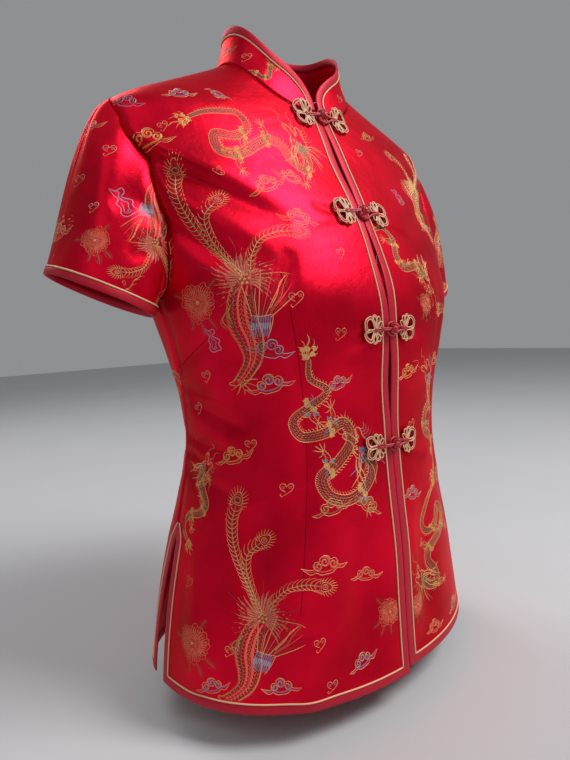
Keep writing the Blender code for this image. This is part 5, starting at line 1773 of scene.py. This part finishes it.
# motif, then angle in degrees and height on a front or the back; degrees round and share down on a
# sleeve; degrees round and share up on the collar; then turn, scale and mirror
LAYOUT = {
    "front_right": (
        ("chest", -27.5, -0.112, 0, 0.94, 0), ("cloud orange", -61.0, -0.112, 4, 1.15, 0),
        ("small gold", -54.5, -0.101, 30, 0.75, 0), ("cloud blue", -50.5, -0.066, 8, 0.85, 0),
        ("small gold", -41.5, -0.141, -60, 0.7, 0), ("cloud green", -20.5, -0.141, -18, 0.95, 1),
        ("cloud sky", -70.0, -0.076, -12, 0.8, 0), ("cloud blue", -38.0, -0.060, 150, 0.65, 0),
        ("cloud green", -29.0, -0.150, 24, 1.1, 0), ("cloud orange", -37.0, -0.122, -20, 0.7, 1),
        ("phoenix", -46.5, -0.238, 0, 1.22, 0), ("cloud gold", -24.0, -0.183, -8, 1.05, 1),
        ("small gold", -33.0, -0.255, 10, 1.05, 0), ("peony", -66.5, -0.256, 12, 1.25, 0),
        ("flame", -65.0, -0.288, -10, 0.85, 0), ("cloud sky", -44.5, -0.297, -14, 1.05, 0),
        ("cloud blue", -47.5, -0.330, 14, 1.1, 1), ("small blue", -72.0, -0.320, 20, 0.85, 0),
        ("small olive", -20.0, -0.287, 0, 0.95, 0), ("small gold", -14.0, -0.214, 20, 0.8, 0),
        ("cloud orange", -66.0, -0.397, 16, 1.05, 0), ("small gold", -57.0, -0.386, 10, 0.9, 0),
        ("small gold", -43.5, -0.427, 0, 1.0, 0), ("low", -24.0, -0.392, 0, 0.98, 0),
        ("cloud blue", -23.0, -0.333, 20, 0.8, 0), ("cloud green", -27.5, -0.446, 10, 1.0, 0),
        ("cloud green", -13.5, -0.452, -30, 0.9, 1), ("cloud gold", -29.5, -0.498, 4, 1.1, 1),
        ("cloud gold", -15.5, -0.516, -6, 0.85, 0), ("phoenix", -49.5, -0.543, -20, 1.15, 0),
        ("peony", -72.0, -0.566, 30, 1.3, 0), ("peony", -6.5, -0.560, -20, 1.0, 0),
        ("cloud blue", -64.0, -0.604, 14, 0.9, 0), ("cloud blue", -42.5, -0.601, 8, 0.9, 1),
        ("small gold", -59.0, -0.571, 0, 0.8, 0), ("small gold", -31.5, -0.569, 10, 0.9, 0),
        ("cloud blue", -17.5, -0.597, 12, 0.9, 0), ("small blue", -27.5, -0.609, 0, 0.9, 0),
        ("running", -81.0, -0.446, 78, 0.72, 0), ("small blue", -84.0, -0.352, 40, 0.8, 0),
        ("sprig", -80.0, -0.215, 60, 0.9, 0), ("small olive", -78.0, -0.516, 0, 0.9, 0)),
    "front_left": (
        ("running", 13.5, -0.216, -40, 0.80, 0), ("phoenix gold", 40.0, -0.128, -14, 0.92, 1),
        ("cloud blue", 40.0, -0.172, 8, 0.95, 0), ("flame", 23.5, -0.146, 6, 0.8, 0),
        ("small gold", 32.0, -0.266, 0, 1.0, 0), ("cloud orange", 11.0, -0.330, 12, 0.9, 0),
        ("peony", 21.5, -0.262, 10, 0.85, 0), ("small blue", 12.0, -0.098, 0, 0.8, 0),
        ("cloud green", 20.0, -0.074, 12, 0.75, 0), ("cloud sky", 60.0, -0.100, 0, 0.9, 0),
        ("rising", 30.0, -0.382, 10, 0.95, 0), ("small gold", 14.0, -0.386, 20, 0.9, 0),
        ("phoenix", 57.0, -0.300, 16, 1.10, 1), ("cloud gold", 38.0, -0.322, -8, 0.9, 0),
        ("peony", 78.0, -0.236, 0, 0.9, 0), ("cloud blue", 76.0, -0.350, 10, 1.0, 0),
        ("small olive", 82.0, -0.300, 0, 0.9, 0), ("chest", 21.5, -0.512, 62, 0.82, 1),
        ("cloud blue", 9.0, -0.452, -12, 0.9, 0), ("peony", 6.5, -0.566, 0, 0.85, 0),
        ("cloud green", 40.0, -0.455, 8, 0.95, 0), ("peony", 60.0, -0.545, 18, 1.3, 1),
        ("small gold", 42.0, -0.500, 0, 0.9, 0), ("cloud blue", 32.0, -0.598, 6, 0.95, 0),
        ("peony", 77.0, -0.590, 20, 0.9, 0), ("cloud orange", 74.0, -0.416, -12, 1.0, 1),
        ("small blue", 84.0, -0.470, 0, 0.9, 0), ("small blue", 48.0, -0.604, 30, 0.9, 0),
        ("cloud gold", 15.0, -0.603, -4, 0.85, 0), ("small gold", 66.0, -0.160, 40, 0.9, 0),
        ("sprig", 70.0, -0.190, 120, 0.9, 0)),
    "back": (
        ("chest", 158.0, -0.098, 6, 0.92, 1), ("phoenix", 206.0, -0.150, 12, 1.02, 1),
        ("cloud blue", 182.0, -0.074, 0, 0.95, 0), ("cloud orange", 128.0, -0.120, -8, 1.0, 0),
        ("small gold", 184.0, -0.120, 20, 0.9, 0), ("cloud sky", 236.0, -0.096, 10, 0.95, 0),
        ("peony", 120.0, -0.200, 0, 0.95, 0), ("phoenix gold", 146.0, -0.260, -12, 1.10, 0),
        ("low", 190.0, -0.262, 0, 0.86, 1), ("cloud green", 170.0, -0.178, 14, 1.0, 0),
        ("small blue", 104.0, -0.260, 0, 0.9, 0), ("peony", 222.0, -0.250, 20, 0.9, 0),
        ("cloud blue", 240.0, -0.200, -10, 1.0, 1), ("small gold", 250.0, -0.262, 0, 0.9, 0),
        ("running", 236.0, -0.330, -20, 0.86, 1), ("cloud orange", 124.0, -0.330, 10, 1.0, 0),
        ("small olive", 160.0, -0.340, 0, 1.0, 0), ("cloud gold", 208.0, -0.360, -8, 1.0, 0),
        ("rising", 136.0, -0.440, 6, 0.98, 0), ("phoenix", 178.0, -0.430, 4, 1.12, 0),
        ("cloud sky", 112.0, -0.400, -6, 1.0, 1), ("small gold", 156.0, -0.408, 0, 0.9, 0),
        ("peony", 210.0, -0.440, 8, 1.0, 0), ("cloud blue", 236.0, -0.420, 12, 1.05, 0),
        ("small blue", 250.0, -0.376, 0, 0.9, 0), ("peony", 110.0, -0.500, 0, 1.0, 0),
        ("peony", 222.0, -0.545, -8, 1.3, 0), ("cloud green", 158.0, -0.520, -10, 1.0, 0),
        ("chest", 132.0, -0.570, 0, 0.85, 0), ("small gold", 196.0, -0.508, 30, 1.0, 0),
        ("running", 188.0, -0.570, 6, 0.92, 1), ("cloud blue", 164.0, -0.596, 4, 1.0, 0),
        ("peony", 244.0, -0.490, -12, 0.9, 0), ("cloud orange", 206.0, -0.600, 0, 0.95, 0),
        ("small blue", 108.0, -0.560, 10, 0.9, 0), ("small olive", 248.0, -0.580, 0, 0.9, 0)),
    "sleeve_right": (
        ("small blue", -53, 0.24, 0, 0.85, 0), ("small olive", -22, 0.52, 0, 0.9, 0),
        ("small blue", -47, 0.585, 10, 0.7, 0), ("flame", -68, 0.45, 8, 1.05, 0),
        ("peony", -52, 0.74, 20, 0.86, 0), ("phoenix", -106, 0.36, 172, 0.80, 0),
        ("sprig", -90, 0.88, 24, 0.9, 0), ("cloud blue", 2, 0.30, 0, 0.9, 0),
        ("cloud gold", 0, 0.78, 12, 0.9, 0),
        ("running", 60, 0.45, -60, 0.85, 0), ("small gold", 40, 0.80, 0, 0.9, 0),
        ("peony", 96, 0.72, 0, 0.8, 0),
        ("cloud orange", 128, 0.50, -20, 0.8, 0), ("small blue", 160, 0.70, 0, 0.8, 0)),
    "sleeve_left": (
        ("small blue", -40, 0.30, 0, 0.9, 0), ("cloud orange", -62, 0.50, 8, 0.95, 1),
        ("peony", -40, 0.74, 0, 0.86, 0), ("phoenix", -92, 0.50, 168, 0.75, 1),
        ("small olive", -8, 0.50, 0, 0.9, 0),
        ("cloud blue", 4, 0.28, 0, 0.9, 0), ("cloud gold", 4, 0.80, -8, 0.9, 0),
        ("rising", 52, 0.52, 0, 0.72, 0),
        ("flame", 88, 0.40, 0, 0.9, 0), ("small gold", 84, 0.78, 0, 0.9, 0),
        ("peony", 118, 0.62, 0, 0.8, 0),
        ("small blue", 150, 0.40, 0, 0.8, 0), ("sprig", -128, 0.80, 30, 0.8, 0)),
    "collar": (
        ("running", 300, 0.34, 30, 0.42, 0), ("small gold", 282, 0.36, 0, 0.8, 0),
        ("cloud blue", 258, 0.34, 8, 0.7, 0),
        ("small olive", 232, 0.36, 0, 0.8, 0), ("cloud gold", 206, 0.34, -6, 0.75, 1),
        ("small blue", 178, 0.36, 0, 0.8, 0),
        ("cloud orange", 152, 0.34, 4, 0.72, 0), ("small gold", 126, 0.36, 0, 0.8, 0),
        ("cloud sky", 100, 0.34, 0, 0.7, 0),
        ("peony", 72, 0.34, 0, 0.55, 0), ("small olive", 50, 0.34, 0, 0.8, 0)),
}


@dataclass
class Studio:
    """Camera at the photograph's angle, plain pale floor, soft light."""

    turn: float = 0.676408
    distance: float = 0.64843
    height: float = -0.27975
    pitch: float = 0.093003
    roll: float = -0.047387
    shift: float = -0.020314
    lens: float = 35.764

    def camera(self) -> None:
        """Place the camera: its axes are worked out from turn, pitch and roll in that order."""
        flat = np.array([math.sin(self.turn), math.cos(self.turn), 0.0])
        right = np.array([math.cos(self.turn), -math.sin(self.turn), 0.0])
        place = right * self.shift - flat * self.distance + np.array([0, 0, self.height])
        forward = flat * math.cos(self.pitch) - np.array([0, 0, math.sin(self.pitch)])
        up = np.cross(right, forward)
        across = right * math.cos(self.roll) + up * math.sin(self.roll)
        above = up * math.cos(self.roll) - right * math.sin(self.roll)
        data = bpy.data.cameras.new("camera")
        data.sensor_fit, data.sensor_width, data.lens, data.clip_start = "HORIZONTAL", 36.0, self.lens, 0.01
        made = bpy.data.objects.new("camera", data)
        rows = [[float(across[k]), float(above[k]), float(-forward[k]), float(place[k])] for k in range(3)]
        made.matrix_world = Matrix(rows + [[0.0, 0.0, 0.0, 1.0]])
        bpy.context.scene.collection.objects.link(made)
        bpy.context.scene.camera = made

    def light(self, name: str, place: tuple[float, float, float], size: float, energy: float,
              colour: tuple[float, float, float] = (1.0, 1.0, 1.0)) -> None:
        """One soft square light that faces the blouse's middle."""
        data = bpy.data.lights.new(name, "AREA")
        data.energy, data.size, data.color = energy, size, colour
        made = bpy.data.objects.new(name, data)
        made.location = place
        way = Matrix.Translation(place).to_translation() - Matrix.Translation((0, 0, -0.3)).to_translation()
        made.rotation_mode = "QUATERNION"
        made.rotation_quaternion = way.to_track_quat("Z", "Y")
        bpy.context.scene.collection.objects.link(made)

    def build(self) -> None:
        """Make the camera, floor, world and lights."""
        self.camera()
        corner = 6.0
        points = np.array([(-corner, -corner, -0.66), (corner, -corner, -0.66),
                           (corner, corner, -0.66), (-corner, corner, -0.66)])
        mesh = bpy.data.meshes.new("floor")
        mesh.from_pydata(points.tolist(), [], [(0, 1, 2, 3)])
        floor = bpy.data.objects.new("floor", mesh)
        s = Shader("pale floor")
        s.set(Base_Color=s.mix(s.noise(s.coordinates(), 3.0), (0.54, 0.54, 0.55), (0.58, 0.58, 0.59)),
              Roughness=0.9)
        mesh.materials.append(s.material)
        bpy.context.scene.collection.objects.link(floor)
        world = bpy.data.worlds.new("soft room")
        world.use_nodes = True
        world.node_tree.nodes["Background"].inputs["Color"].default_value = (0.62, 0.63, 0.65, 1.0)
        world.node_tree.nodes["Background"].inputs["Strength"].default_value = 0.44
        bpy.context.scene.world = world
        self.light("key", (0.95, -1.45, 1.65), 1.0, 58.0)
        self.light("fill", (-1.5, -1.2, 1.5), 1.5, 5.5)
        self.light("rim", (-0.3, 1.7, 1.5), 1.2, 18.0)


def dress(piece: bpy.types.Object, node: str | Iterable[str]) -> bpy.types.Object:
    """Let a piece stand for its solid by hiding the solid."""
    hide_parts(*([node] if isinstance(node, str) else node))
    return piece


@dataclass
class Blouse:
    """The whole blouse."""

    satin: Any = None
    binding: Any = None
    piping: Any = None
    cord: Any = None
    threads: Sequence[Any] = ()
    drawn: dict[str, Drawing] = field(default_factory=motifs)

    def trims(self, place: str, border: Border) -> None:
        """The binding and piping of one border."""
        strip = dress(border.binding(place + "_binding", self.binding), "binding_" + place)
        cord = dress(border.piping(place + "_piping", self.piping), "piping_" + place)

    def shell(self, chart: Chart, node: str, flat: tuple[float, float], area: float) -> None:
        """One panel's satin shell and the brocade on it."""
        cloth = chart.cloth
        piece = dress(cloth.shell(self.satin), node)
        figured = Brocade(node + "_brocade", chart)
        rows, columns = cloth.points.shape[:2]
        for name, across, down, turn, scale, mirror in LAYOUT[node]:
            if cloth.tube or node == "collar":
                row, column = down * (rows - 1), (across / 360 % 1) * columns + chart.wrap
            else:
                place = FORM.point(np.array(math.radians(across)), np.array(float(down)))
                row, column = chart.nearest(place)
            figured.draw(self.drawn[name].placed(0, 0, turn, scale, bool(mirror)), row, column)
        threads = figured.build(self.threads)

    def build(self) -> None:
        """Build every piece."""
        self.satin, self.binding = SatinFinish().material(), BindingFinish().material()
        self.piping = CordFinish("pale gold piping", (0.86, 0.58, 0.34), (0.62, 0.34, 0.16), 0.45).material()
        self.cord = CordFinish("red satin cord", (0.50, 0.010, 0.025), (0.30, 0.004, 0.010), 0.38).material()
        self.threads = [thread.value.material() for thread in Thread]
        body = Body()
        cut = body.cut
        slit = cut.slit_rows + 8

        def bound(row: Array) -> Array:
            """Free columns at an edge that has a binding all the way."""
            return BOUND_EDGE + 0 * row

        def side(row: Array) -> Array:
            """Free columns at a side: a binding along the slit, a seam above it."""
            return np.where(row < slit, BOUND_EDGE, SEAM_EDGE)

        def ends(row: Array) -> Array:
            """Free columns at the collar's rounded ends."""
            return 24.0 + 0 * row

        back = body.back()
        fronts = {RIGHT: body.front(RIGHT, "right"), LEFT: body.front(LEFT, "left")}
        self.shell(Chart(back, BOUND_EDGE, 0.4, side, side), "back", (0.46, 0.64), 0.265)
        apex = cut.slit_rows + int(round((SLIT_APEX - SLIT_TOP) / (UNDERARM - SLIT_TOP) * cut.seam_rows))
        self.trims("back", panel_border(back, apex, apex, (True, True)))
        for hand, place in ((RIGHT, "right"), (LEFT, "left")):
            front = fronts[hand]
            self.shell(Chart(front, BOUND_EDGE, 0.4, bound, side), "front_" + place, (0.26, 0.64), 0.142)
            border = panel_border(front, front.points.shape[0] - 1, apex, (False, True))
            self.trims("front_" + place, border)
            sleeve = Sleeve(hand, place, swing=(0.010, 0.100) if hand == RIGHT else (0.024, 0.145),
                            folds=SLEEVE_FOLDS[hand])
            cloth = sleeve.cloth(front, back, cut)
            self.shell(Chart(cloth, 0.6, 1.8), "sleeve_" + place, (0.34, 0.20), 0.034)
            self.trims("sleeve_" + place, sleeve.border(cloth))
        band = CollarBand()
        self.shell(Chart(band.cloth(), 0.4, 3.6, ends, ends), "collar", (0.40, 0.045), 0.0165)
        self.trims("collar", band.border())
        for number, middle in enumerate(FROG_HEIGHTS, start=1):
            frog = Frog(middle, number)
            for hand, place in ((RIGHT, "right"), (LEFT, "left")):
                flower = frog.flower(hand, place, self.cord, self.piping)
                dress(flower, "frog_%d_flower_%s" % (number, place))
            dress(frog.stem(self.cord), "frog_%d_knot" % number)
            dress(frog.loop(self.cord), "frog_%d_loop" % number)


def main() -> None:
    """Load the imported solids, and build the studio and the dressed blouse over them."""
    logging.basicConfig(level=logging.INFO, format="%(message)s")
    bpy.context.scene.view_settings.view_transform = "Standard"
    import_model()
    Studio().build()
    Blouse().build()


if __name__ == "__main__":
    main()
